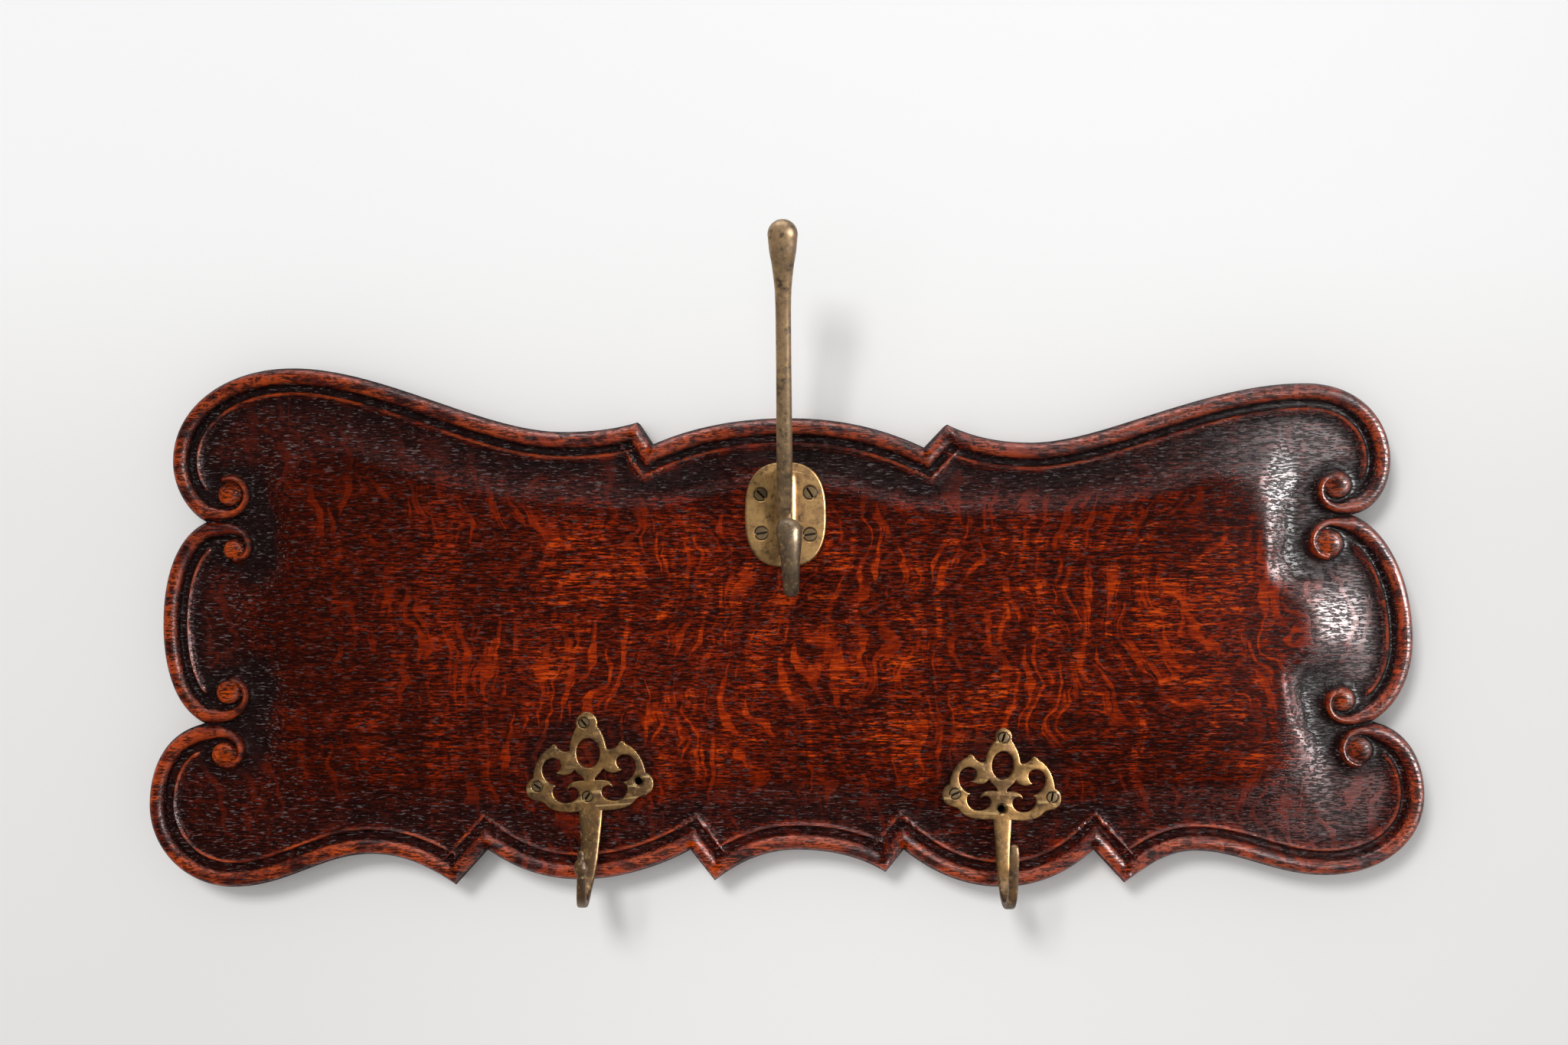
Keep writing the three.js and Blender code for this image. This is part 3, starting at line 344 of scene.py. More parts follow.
def circle(angle):
    """Points of the unit circle at some angles."""
    return np.stack([np.cos(angle), np.sin(angle)], axis=1)


def curl(eye, eye_radius, start, end, turn, settle):
    """A volute: its eye, its line's radii at start and end, its turn and how soon it settles, in degrees."""
    eye = np.array(eye, float)
    return SimpleNamespace(eye=eye, eye_radius=eye_radius, start=start, end=end, turn=turn, settle=settle)


MOULDINGS = (
    (TOP_EDGE, curl((-262, 63), 6, 10, 9.2, 250, 35), curl((259, 67.5), 6.7, 15, 6.5, 180, 20)),
    (RIGHT_EDGE, curl((255, 40), 7, 12, 8, 220, 20), curl((261.5, -33.5), 6, 13.5, 6.6, 200, 20)),
    (BOTTOM_EDGE, curl((269, -57), 6.7, 10.6, 8.8, 215, 20), curl((-264.5, -59.5), 6.4, 13, 7, 210, 35)),
    (LEFT_EDGE, curl((-262.5, -30), 6.2, 13.5, 7.4, 210, 35), curl((-260, 37), 5.3, 12, 6.3, 230, 35)),
)
CURLS = [c for _, first, last in MOULDINGS for c in (first, last)]


def bezier(start, run, count):
    """Count points after the start, along the curve that a run's three points draw from it."""
    a, b, c = (np.array(p, float) for p in run)
    points = []
    for k in range(1, count + 1):
        t = k / count
        s = 1 - t
        points.append(s**3 * start + 3 * s * s * t * a + 3 * s * t * t * b + t**3 * c)
    return points


def edge_stations(edge, step=STATION_STEP):
    """Points along one moulding's edge, about step apart, with every corner kept."""
    points = [np.array(edge[0], float)]
    for run in edge[1:]:
        start = points[-1]
        if np.ndim(run) == 1:
            end = np.array(run, float)
            count = max(1, round(np.linalg.norm(end - start) / step))
            points += [start + (end - start) * (k + 1) / count for k in range(count)]
        else:
            legs = np.diff(np.vstack([start, run]), axis=0)
            length = CURVE_SHARE * np.linalg.norm(legs, axis=1).sum()
            points += bezier(start, run, max(2, round(length / step)))
    return np.array(points)


def mitres(points):
    """For each point of a clockwise line, the step that keeps lines set in by it parallel."""
    along = np.diff(points, axis=0)
    along /= np.linalg.norm(along, axis=1)[:, None]
    normal = np.stack([along[:, 1], -along[:, 0]], axis=1)
    before = np.vstack([normal[:1], normal])
    after = np.vstack([normal, normal[-1:]])
    spread = np.maximum(MITRE_LIMIT, 1 + (before * after).sum(axis=1))
    return (before + after) / spread[:, None]


def curl_stations(c, notch, direction):
    """The outer line of a curl from its notch inwards, and the bead's width at each point."""
    from_eye = notch - c.eye
    reach = np.linalg.norm(from_eye)
    first = math.atan2(from_eye[1], from_eye[0])
    count = round(math.radians(c.turn) * c.end / STATION_STEP) + CURL_EXTRA_STATIONS
    turned = c.turn * np.arange(1, count + 1) / count
    ease = np.exp(-turned / c.settle)
    radius = c.start + (c.end - c.start) * turned / c.turn + (reach - c.start) * ease
    inner = np.maximum(VOLUTE_BEAD_WIDTH, VOLUTE_BEAD_SHARE * (radius - c.eye_radius))
    width = np.minimum(BEAD_WIDTH, inner + (BEAD_WIDTH - inner) * ease)
    return c.eye + radius[:, None] * circle(first + direction * np.radians(turned)), width


def moulding_lines():
    """Every moulding as its edge, and as the longer line with both curls that the bead follows."""
    lines = []
    for edge, first, last in MOULDINGS:
        points = edge_stations(edge)
        head, head_width = curl_stations(first, points[0], 1)
        tail, tail_width = curl_stations(last, points[-1], -1)
        whole = np.vstack([head[::-1], points, tail])
        width = np.concatenate([head_width[::-1], np.full(len(points), BEAD_WIDTH), tail_width])
        lines.append(SimpleNamespace(edge=points, whole=whole, width=width, curls=(first, last)))
    return lines


LINES = moulding_lines()
OUTLINE = np.vstack([line.edge[1:] for line in LINES])
ROUGH_OUTLINE = np.vstack([edge_stations(edge, ROUGH_STEP)[1:] for edge, _, _ in MOULDINGS])


def distance_to_outline(points):
    """How far each point lies from the board's edge."""
    a = ROUGH_OUTLINE
    d = np.roll(a, -1, axis=0) - a
    nearest = np.full(len(points), np.inf)
    for start, step in zip(a, d):
        t = np.clip(((points - start) @ step) / (step @ step), 0, 1)
        away = points - start - t[:, None] * step
        nearest = np.minimum(nearest, (away**2).sum(axis=1))
    return np.sqrt(nearest)


def inside_outline(points, outline=ROUGH_OUTLINE):
    """Whether each point lies inside a closed line, by counting the edges to its right."""
    inside = np.zeros(len(points), bool)
    x, z = points[:, 0], points[:, 1]
    for (ax, az), (bx, bz) in zip(outline, np.roll(outline, -1, axis=0)):
        if az == bz:
            continue
        crosses = (az > z) != (bz > z)
        inside ^= crosses & (x < (bx - ax) * (z - az) / (bz - az) + ax)
    return inside


class Raster:
    """Heights above the board's back on a fine square grid."""

    def __init__(self):
        self.low = OUTLINE.min(axis=0) - EDGE_MARGIN
        high = OUTLINE.max(axis=0) + EDGE_MARGIN
        self.count = np.ceil((high - self.low) / RASTER_STEP).astype(int) + 1
        self.x, self.z = (low + RASTER_STEP * np.arange(count) for low, count in zip(self.low, self.count))
        self.height = np.full(tuple(self.count), GROUND)

    def patch(self, corners):
        """The grid's part that covers some points, as slices and as its x and z."""
        low = np.floor((corners.min(axis=0) - self.low) / RASTER_STEP).astype(int) - 1
        high = np.ceil((corners.max(axis=0) - self.low) / RASTER_STEP).astype(int) + 2
        low, high = np.clip((low, high), 0, self.count)
        where = (slice(low[0], high[0]), slice(low[1], high[1]))
        x, z = np.meshgrid(self.x[where[0]], self.z[where[1]], indexing="ij")
        return where, x, z

    def sample(self, grid, points):
        """Reads a grid between its cells."""
        place = (points - self.low) / RASTER_STEP
        place = np.clip(place, 0, self.count - 1.001)
        cell = place.astype(int)
        fx, fz = (place - cell).T
        i, j = cell.T
        near = grid[i, j] * (1 - fz) + grid[i, j + 1] * fz
        far = grid[i + 1, j] * (1 - fz) + grid[i + 1, j + 1] * fz
        return near * (1 - fx) + far * fx


def blurred(grid, radius):
    """A box blur, twice each way."""
    half = max(1, round(radius / RASTER_STEP))
    for axis in (0, 1, 0, 1):
        padded = np.pad(grid, [(half + 1, half) if a == axis else (0, 0) for a in (0, 1)], mode="edge")
        total = np.cumsum(padded, axis=axis)
        size = 2 * half + 1
        count = grid.shape[axis]
        upper = np.take(total, range(size, size + count), axis=axis)
        lower = np.take(total, range(count), axis=axis)
        grid = (upper - lower) / size
    return grid


def stamp_strip(raster, points, reach, shape):
    """Raises the grid to shape(offset, station, along) within a strip along the inside of a line."""
    steps = mitres(points)
    for i in range(len(points) - 1):
        a, b = points[i], points[i + 1]
        ma, mb = steps[i], steps[i + 1]
        far = reach(i)
        where, x, z = raster.patch(np.array([a, b, a + ma * far, b + mb * far]))
        d = b - a
        length = math.hypot(*d)
        d = d / length
        ax, az = x - a[0], z - a[1]
        offset = ax * d[1] - az * d[0]
        after_a = ma[0] * az - ma[1] * ax >= -STRIP_OVERLAP
        before_b = mb[0] * (z - b[1]) - mb[1] * (x - b[0]) <= STRIP_OVERLAP
        along = np.clip((ax * d[0] + az * d[1]) / length, 0, 1)
        height = shape(offset, i, along)
        good = after_a & before_b & (offset >= 0) & (offset <= far)
        patch = raster.height[where]
        patch[good] = np.maximum(patch[good], height[good])


def stamp_bead(raster, line):
    """The round border moulding, which stands on a small step at the board's edge."""
    width = line.width

    def shape(offset, i, along):
        w = width[i] + (width[i + 1] - width[i]) * along
        q = np.clip((offset - BEAD_STEP) / (w - BEAD_STEP), 0, 1)
        rise = (4 * q * (1 - q)) ** BEAD_ROUNDNESS
        return np.where(q > 0, GROUND + (CARVING_DEPTH - BEAD_DROP) * rise, GROUND)

    stamp_strip(raster, line.whole, lambda i: max(width[i], width[i + 1]), shape)


def fillet_run(line):
    """The stretch of a moulding's edge that has the thin fillet, clear of both eyes."""
    crest = line.edge + mitres(line.edge) * FILLET_OFFSET
    clear = np.ones(len(crest), bool)
    for c in line.curls:
        away = np.linalg.norm(crest - c.eye, axis=1)
        clear &= away > c.eye_radius + FILLET_OUTER_SLOPE + FILLET_INNER_SLOPE
    return line.edge[clear]


def stamp_fillet(raster, line):
    """The thin ridge inside the bead, which fades out at both ends."""
    points = fillet_run(line)
    last = len(points) - 2

    def shape(offset, i, along):
        rise = FILLET_HEIGHT * min(1.0, FILLET_END_SHARE + min(i, last - i) / FILLET_FADE_STATIONS)
        outer = 1 - (FILLET_OFFSET - offset) / FILLET_OUTER_SLOPE
        inner = 1 - (offset - FILLET_OFFSET) / FILLET_INNER_SLOPE
        return GROUND + rise * np.clip(np.where(offset < FILLET_OFFSET, outer, inner), 0, 1)

    stamp_strip(raster, points, lambda i: FILLET_OFFSET + FILLET_INNER_SLOPE, shape)


def stamp_eye(raster, c):
    """The domed eye of a volute."""
    where, x, z = raster.patch(np.array([c.eye - c.eye_radius, c.eye + c.eye_radius]))
    q = np.clip(np.hypot(x - c.eye[0], z - c.eye[1]) / c.eye_radius, 0, 1)
    dome = GROUND + EYE_HEIGHT * (1 - q**EYE_FLATNESS) ** EYE_ROUNDNESS
    raster.height[where] = np.maximum(raster.height[where], dome)


def field_rays():
    """Rays from a level spine, each a root and a direction, in order round the field."""
    spine = np.arange(-SPINE_HALF, SPINE_HALF + 1, SPINE_STEP)
    rays = [((x, 0.0), 90.0) for x in spine]
    rays += [((SPINE_HALF, 0.0), a) for a in np.arange(90 - FAN_STEP, -90, -FAN_STEP)]
    rays += [((x, 0.0), -90.0) for x in spine[::-1]]
    rays += [((-SPINE_HALF, 0.0), a) for a in np.arange(270 - FAN_STEP, 90, -FAN_STEP)]
    roots = np.array([root for root, _ in rays])
    return roots, circle(np.radians([angle for _, angle in rays]))


def clear_reach(roots, ways):
    """How far each ray runs before it comes too near the border or a curl."""
    lengths = np.arange(*RAY_LENGTHS)
    points = (roots[:, None, :] + ways[:, None, :] * lengths[None, :, None]).reshape(-1, 2)
    blocked = distance_to_outline(points) <= FIELD_GAP
    for c in CURLS:
        away = np.linalg.norm(points - c.eye, axis=1)
        blocked |= away <= (c.start + c.end) / 2 + VOLUTE_GAP
    blocked |= ~inside_outline(points)
    return lengths[blocked.reshape(len(roots), -1).argmax(axis=1)] - 1


def smoothed(values, span):
    """The least of every three neighbours round the field, averaged over span of them on each side."""
    least = np.minimum(np.minimum(np.roll(values, 1), values), np.roll(values, -1))
    return sum(np.roll(least, k) for k in range(-span, span + 1)) / (2 * span + 1)


def slope_widths(points):
    """How wide the field's slope is at each point: narrow beside a hook, wide elsewhere."""
    closeness = np.zeros(len(points))
    for x, side in HOOK_PLACES:
        near = np.exp(-(((points[:, 0] - x) / HOOK_SPREAD) ** 2))
        closeness = np.maximum(closeness, np.where(side * points[:, 1] > 0, near, 0))
    return FIELD_SLOPE + (FIELD_SLOPE_AT_HOOK - FIELD_SLOPE) * closeness


def ray_order(x, z):
    """For each place, the ray it lies on, counted round the field, and its distance from the spine."""
    spine_count = round(2 * SPINE_HALF / SPINE_STEP) + 1
    fan_count = round(180 / FAN_STEP) - 1
    over = np.clip(x, -SPINE_HALF, SPINE_HALF)
    bearing = np.degrees(np.arctan2(z, x - over))
    along = (over + SPINE_HALF) / SPINE_STEP
    order = np.where(z >= 0, along, 2 * (spine_count - 1) + fan_count + 1 - along)
    order = np.where(x > SPINE_HALF, spine_count - 1 + (90 - bearing) / FAN_STEP, order)
    bearing = np.where(bearing < 0, bearing + 360, bearing)
    turned = 2 * spine_count + fan_count - 1 + (270 - bearing) / FAN_STEP
    return np.where(x < -SPINE_HALF, turned, order), np.hypot(x - over, z)


def stamp_field(raster):
    """The raised field, with a slope that follows the border at a distance."""
    roots, ways = field_rays()
    foot = smoothed(clear_reach(roots, ways), FOOT_SMOOTHING)
    slopes = slope_widths(roots + ways * foot[:, None])
    top = smoothed(foot - slopes, TOP_SMOOTHING)
    top = np.minimum(top, foot - FIELD_SLOPE_LEAST)
    order, away = ray_order(*np.meshgrid(raster.x, raster.z, indexing="ij"))
    low = np.floor(order).astype(int)
    part = order - low
    this, following = low % len(roots), (low + 1) % len(roots)
    foot_here = foot[this] * (1 - part) + foot[following] * part
    top_here = top[this] * (1 - part) + top[following] * part
    share = np.clip((foot_here - away) / (foot_here - top_here), 0, 1)
    rise = CARVING_DEPTH * (1 - np.cos(math.pi * share)) / 2
    raster.height = np.maximum(raster.height, GROUND + rise)


def carve():
    """The whole relief, softened where one form meets another, as a grid of heights."""
    raster = Raster()
    for line in LINES:
        stamp_bead(raster, line)
        stamp_fillet(raster, line)
    for c in CURLS:
        stamp_eye(raster, c)
    stamp_field(raster)
    soft = blurred(raster.height, SOFTENING)
    raster.height = raster.height + HOLLOW_FILL * np.maximum(0, soft - raster.height)
    return raster


RASTER = carve()


def carved_points():
    """Where the carved face has its vertices: dense along the mouldings, and even elsewhere."""
    rows = []
    for line in LINES:
        steps = mitres(line.edge)
        rows += [line.edge + steps * offset for offset in MOULDING_OFFSETS]
        steps = mitres(line.whole)
        rows += [line.whole + steps * (line.width * share)[:, None] for share in BEAD_SHARES]
    ring = circle(np.linspace(0, 2 * math.pi, EYE_SIDES, endpoint=False))
    for c in CURLS:
        rows.append(c.eye[None, :])
        rows += [c.eye + ring * (c.eye_radius * share) for share in EYE_SHARES]
    rows = thinned(np.vstack(rows), LEAST_SPACING)
    x = np.arange(OUTLINE[:, 0].min(), OUTLINE[:, 0].max(), GRID_STEP)
    z = np.arange(OUTLINE[:, 1].min(), OUTLINE[:, 1].max(), GRID_STEP * GRID_ROW_SHARE)
    gx, gz = np.meshgrid(x, z, indexing="ij")
    gx = gx + (np.arange(len(z)) % 2)[None, :] * GRID_STEP / 2
    grid = np.stack([gx.ravel(), gz.ravel()], axis=1)
    taken = {tuple(c) for c in np.round(rows / GRID_STEP).astype(int)}
    free = [tuple(c) not in taken for c in np.round(grid / GRID_STEP).astype(int)]
    points = np.vstack([rows, grid[free]])
    points = points[inside_outline(points)]
    kept = distance_to_outline(points) >= NEAR_EDGE
    kept[~kept] = inside_outline(points[~kept], OUTLINE)
    return points[kept]


def thinned(points, cell):
    """Keeps one point in each small cell."""
    _, first = np.unique(np.round(points / cell).astype(int), axis=0, return_index=True)
    return points[np.sort(first)]


def mesh_object(name, vertices_mm, faces):
    """A new object from points in millimetres and the faces between them."""
    mesh = bpy.data.meshes.new(name)
    mesh.from_pydata((np.asarray(vertices_mm, float) * MM).tolist(), [], faces)
    mesh.validate()
    obj = bpy.data.objects.new(name, mesh)
    bpy.context.scene.collection.objects.link(obj)
    return obj


def board_mesh():
    """The board as one closed mesh: the carved face, the edge and the flat back."""
    inner = carved_points()
    flat = np.vstack([OUTLINE, inner])
    count = len(OUTLINE)
    edges = [(i, (i + 1) % count) for i in range(count)]
    verts = [Vector(p) for p in flat.tolist()]
    out, _, faces, origin, _, _ = delaunay_2d_cdt(verts, edges, [], 1, WELD_DISTANCE)
    front = np.array([tuple(v) for v in out])
    height = RASTER.sample(RASTER.height, front)
    ring = [0] * count
    for i, sources in enumerate(origin):
        for source in sources:
            if source < count:
                ring[source] = i
    height[ring] = GROUND
    total = len(front)
    vertices = np.column_stack([front[:, 0], -height, front[:, 1]])
    back = np.column_stack([OUTLINE[:, 0], np.zeros(count), OUTLINE[:, 1]])
    polygons = [tuple(f) for f in faces]
    for i in range(count):
        j = (i + 1) % count
        polygons.append((ring[i], ring[j], total + j, total + i))
    polygons.append(tuple(total + i for i in range(count)))
    obj = mesh_object("carved_board", np.vstack([vertices, back]), polygons)
    recalculate_normals(obj)
    return obj


def recalculate_normals(obj):
    """Turns every face of a closed mesh outwards."""
    work = bmesh.new()
    work.from_mesh(obj.data)
    bmesh.ops.recalc_face_normals(work, faces=work.faces)
    work.to_mesh(obj.data)
    work.free()


def placed(name, middle, scale=(1, 1, 1), rotation=(0, 0, 0)):
    """The solid that was added last, scaled, turned and moved in its own vertices."""
    obj = bpy.context.active_object
    obj.name = name
    obj.scale = scale
    obj.rotation_euler = rotation
    obj.location = [v * MM for v in middle]
    bpy.ops.object.transform_apply()
    return obj


def cylinder_along_y(name, x, z, radius, near, far):
    bpy.ops.mesh.primitive_cylinder_add(radius=radius * MM, depth=abs(far - near) * MM)
    return placed(name, (x, (near + far) / 2, z), rotation=(math.pi / 2, 0, 0))


def box_between(name, low, high):
    bpy.ops.mesh.primitive_cube_add(size=1)
    middle = [(h + l) / 2 for l, h in zip(low, high)]
    return placed(name, middle, scale=[(h - l) * MM for l, h in zip(low, high)])


def combine(obj, other, operation):
    """Joins other to obj, or cuts it out of obj, and removes it."""
    modifier = obj.modifiers.new("combine", "BOOLEAN")
    modifier.operation = operation
    modifier.object = other
    modifier.solver = "MANIFOLD"
    bpy.context.view_layer.objects.active = obj
    bpy.ops.object.modifier_apply(modifier=modifier.name)
    bpy.data.objects.remove(other, do_unlink=True)


def keyhole_cutter(x, z):
    """An entry for a screw's head, a slot above it for its shank and a wider lane behind the lip."""
    r = KEYHOLE_ENTRY_RADIUS
    top = z + KEYHOLE_RISE
    cutter = cylinder_along_y("entry", x, z, r, KEYHOLE_PAST, -KEYHOLE_DEPTH)
    for half, near in ((KEYHOLE_SLOT_WIDTH / 2, KEYHOLE_PAST), (r - KEYHOLE_LANE_INSET, -KEYHOLE_LIP)):
        lane = box_between("lane", (x - half, -KEYHOLE_DEPTH, z), (x + half, near, top))
        combine(cutter, lane, "UNION")
        combine(cutter, cylinder_along_y("end", x, top, half, near, -KEYHOLE_DEPTH), "UNION")
    return cutter


def relief_attributes(obj):
    """Stores on each vertex how high it lies and how it stands out of what is round it."""
    places = vertex_places(obj)
    points = places[:, [0, 2]]
    on_face = places[:, 1] < FACE_DEPTH_MARGIN - GROUND
    height = RASTER.height
    soft = {name: blurred(height, reach) for name, reach in RELIEF_REACH.items()}
    layers = dict(
        fine=height - soft["fine"],
        broad=height - soft["broad"],
        level=(height - GROUND) / CARVING_DEPTH,
        inner=(soft["inner"] - GROUND) / CARVING_DEPTH,
    )
    for name, grid in layers.items():
        add_attribute(obj, name, np.where(on_face, RASTER.sample(grid, points), OFF_FACE[name]))
    eyes = np.zeros(len(points))
    for c in CURLS:
        away = np.linalg.norm(points - c.eye, axis=1)
        eyes = np.maximum(eyes, np.clip(EYE_FADE * (1 - away / c.eye_radius), 0, 1))
    add_attribute(obj, "eyes", np.where(on_face, eyes, 0))


class Nodes:
    """A few short ways to write a material's nodes."""

    def __init__(self, name):
        self.material = bpy.data.materials.new(name)
        self.material.use_nodes = True
        self.tree = self.material.node_tree
        self.place = self.add("ShaderNodeTexCoord", {}, "Object")
        self.x, self.y, self.z = (self.add("ShaderNodeSeparateXYZ", {0: self.place}, axis) for axis in "XYZ")

    def add(self, kind, inputs, output, **settings):
        """Adds a node, feeds its inputs, each called by name or number, and gives one output."""
        node = self.tree.nodes.new(kind)
        for key, value in settings.items():
            setattr(node, key, value)
        for key, value in inputs.items():
            self.feed(node.inputs[key], value)
        return node.outputs[output]

    def feed(self, socket, value):
        """Links a socket to another node's, or sets it to a constant."""
        if isinstance(value, bpy.types.NodeSocket):
            self.tree.links.new(value, socket)
        else:
            socket.default_value = value

    def attribute(self, name):
        return self.add("ShaderNodeAttribute", {}, "Fac", attribute_name=name)

    def noise(self, scale, detail, roughness, place=None, output="Fac"):
        """Noise with one scale for all axes, or with one for each of x, y and z."""
        place = place or self.place
        if isinstance(scale, tuple):
            place = self.add("ShaderNodeMapping", {"Vector": place, "Scale": scale}, "Vector")
            scale = 1
        inputs = {"Vector": place, "Scale": scale, "Detail": detail, "Roughness": roughness}
        return self.add("ShaderNodeTexNoise", inputs, output)

    def ramp(self, source, low, high, to_low=0.0, to_high=1.0):
        """Goes softly from to_low to to_high while the source goes from low to high."""
        inputs = {"Value": source, "From Min": low, "From Max": high, "To Min": to_low, "To Max": to_high}
        return self.add("ShaderNodeMapRange", inputs, "Result", interpolation_type="SMOOTHSTEP")

    def folded(self, operation, first, *rest):
        for value in rest:
            first = self.add("ShaderNodeMath", {0: first, 1: value}, "Value", operation=operation)
        return first

    def times(self, *values):
        return self.folded("MULTIPLY", *values)

    def plus(self, *values):
        return self.folded("ADD", *values)

    def most(self, *values):
        return self.folded("MAXIMUM", *values)

    def vector_math(self, operation, *values, output="Vector"):
        return self.add("ShaderNodeVectorMath", dict(enumerate(values)), output, operation=operation)

    def mix(self, factor, *colours):
        """Mixes two colours, each another node's or one as a screen shows it, from 0 to 255."""
        a, b = (linear(colour) if isinstance(colour, tuple) else colour for colour in colours)
        first, second, mixed = MIX_COLOUR_SOCKETS
        return self.add("ShaderNodeMix", {0: factor, first: a, second: b}, mixed, data_type="RGBA")

    def bump(self, height, strength, distance):
        inputs = {"Height": height, "Strength": strength, "Distance": distance}
        return self.add("ShaderNodeBump", inputs, "Normal")

    def shown(self, values):
        """Feeds the surface's sockets, each called by its name, and returns the material."""
        for name, value in values.items():
            self.feed(self.tree.nodes["Principled BSDF"].inputs[name], value)
        return self.material


def linear(colour):
    """A colour given from 0 to 255 as a screen shows it, in the linear values of a shader."""
    shares = [v / 255 for v in colour]
    return (*(v / 12.92 if v <= 0.04045 else ((v + 0.055) / 1.055) ** 2.4 for v in shares), 1.0)


def oak_figure(n):
    """What the wood and the carving are like at each place, as fields that looks are mixed from."""
    f = SimpleNamespace()
    f.fine = n.attribute("fine")
    f.level = n.attribute("level")
    f.broad = n.attribute("broad")
    f.hollow = n.ramp(f.broad, 0.05, -0.8)
    f.field = n.times(n.ramp(f.level, 0.45, 1.0), n.ramp(f.fine, 0.4, 0.1))

    f.rings = n.noise((12, 1, 300), 3, 0.65)
    f.dashes = n.noise((95, 30, 1200), 3, 0.65)
    f.tone = n.noise((7, 1, 22), 3, 0.6)
    f.patches = n.noise((40, 20, 130), 4, 0.7)
    wavy = swaying_place(n)
    f.bands = n.ramp(n.noise((105, 25, 16), 3, 0.6, wavy), 0.43, 0.6)
    flakes = n.ramp(n.noise((210, 40, 30), 2, 0.55, wavy), 0.53, 0.61)
    f.flakes = n.times(flakes, n.ramp(f.tone, 0.36, 0.56))
    f.pores = n.times(
        n.ramp(n.noise((230, 1100, 1250), 2, 0.65), 0.47, 0.54),
        n.ramp(f.flakes, 0.0, 1.0, 1.0, 0.4),
        n.ramp(f.fine, 0.3, 0.7, 1.0, 0.5),
    )
    return f


def swaying_place(n):
    """Places that sway to and fro, so that what is drawn on them does."""
    place = n.place
    for scale, reach in OAK_WAVES:
        sway = n.noise(scale, 2, 0.5, output="Color")
        sway = n.vector_math("SUBTRACT", sway, (0.5, 0.5, 0.5))
        place = n.vector_math("ADD", place, n.vector_math("MULTIPLY", sway, reach))
    return place


def oak_wood(n, f):
    """Dark wood with warm bands, and with orange where a ray flake or a bright dash is, made darker to the
    left, at the top and on the field near the border as painted shade.
    """
    # Painted shade: darker to the left, at the top, and on the field near the border but not on the crests.
    painted_light = n.times(
        n.ramp(n.x, -0.27, -0.06, 0.36, 1.0),
        n.ramp(n.z, 0.085, 0.035, 0.7, 1.0),
        n.most(n.ramp(n.attribute("inner"), 0.65, 0.99, 0.6, 1.0), n.ramp(f.fine, 0.1, 0.4)),
    )
    dashes = n.times(
        n.ramp(f.dashes, 0.44, 0.55),
        n.ramp(f.rings, 0.38, 0.6, 0.4, 1.0),
        n.ramp(f.bands, 0.0, 1.0, 0.36, 1.0),
    )
    flames = n.times(f.flakes, n.ramp(f.dashes, 0.4, 0.56, 0.35, 0.85))
    glow = n.times(n.most(dashes, flames), painted_light)
    body = n.plus(n.times(f.tone, 0.5), n.times(f.rings, 0.5))
    body = n.times(n.ramp(body, 0.38, 0.6), n.ramp(f.bands, 0.0, 1.0, 0.5, 1.0), painted_light)
    colour = n.mix(body, OAK["dark"], OAK["warm"])
    return n.mix(glow, colour, n.mix(n.ramp(glow, 0.55, 1.0), OAK["red"], OAK["orange"]))


def oak_worn_and_painted_light(n, f, colour):
    """Lighter wood on the crests, most of all low on the board, where the extra is painted light on parts
    that face down, and on the volutes' eyes.
    """
    wear_and_painted_light = n.times(
        n.most(n.ramp(f.fine, 0.15, 0.7), n.ramp(f.broad, 1.0, 2.0)),
        n.ramp(f.patches, 0.42, 0.58),
        # Painted light: the lightening grows low on the board, where the bead faces down.
        n.ramp(n.z, -0.04, -0.08, 0.65, 0.85),
    )
    colour = n.mix(wear_and_painted_light, colour, OAK["worn_and_painted_light"])
    eyes = n.times(n.attribute("eyes"), n.ramp(f.patches, 0.4, 0.6, 0.25, 0.65))
    return n.mix(eyes, colour, OAK["eye"])


def beside_plate(n, hook):
    """An ellipse on the board's face round a coat hook's plate."""
    wide, high = DARK_PATCH_SHARES
    across = n.times(n.plus(n.x, -hook["x"] * MM), 1 / (wide * hook["plate_width"] * MM))
    up = n.times(n.plus(n.z, (DARK_PATCH_DROP - hook["z"]) * MM), 1 / (high * hook["plate_height"] * MM))
    away = n.plus(n.times(across, across), n.times(up, up))
    return n.times(n.ramp(away, 1.3, 0.7, 0.0, 0.8), n.ramp(n.y, -0.006, -0.01))


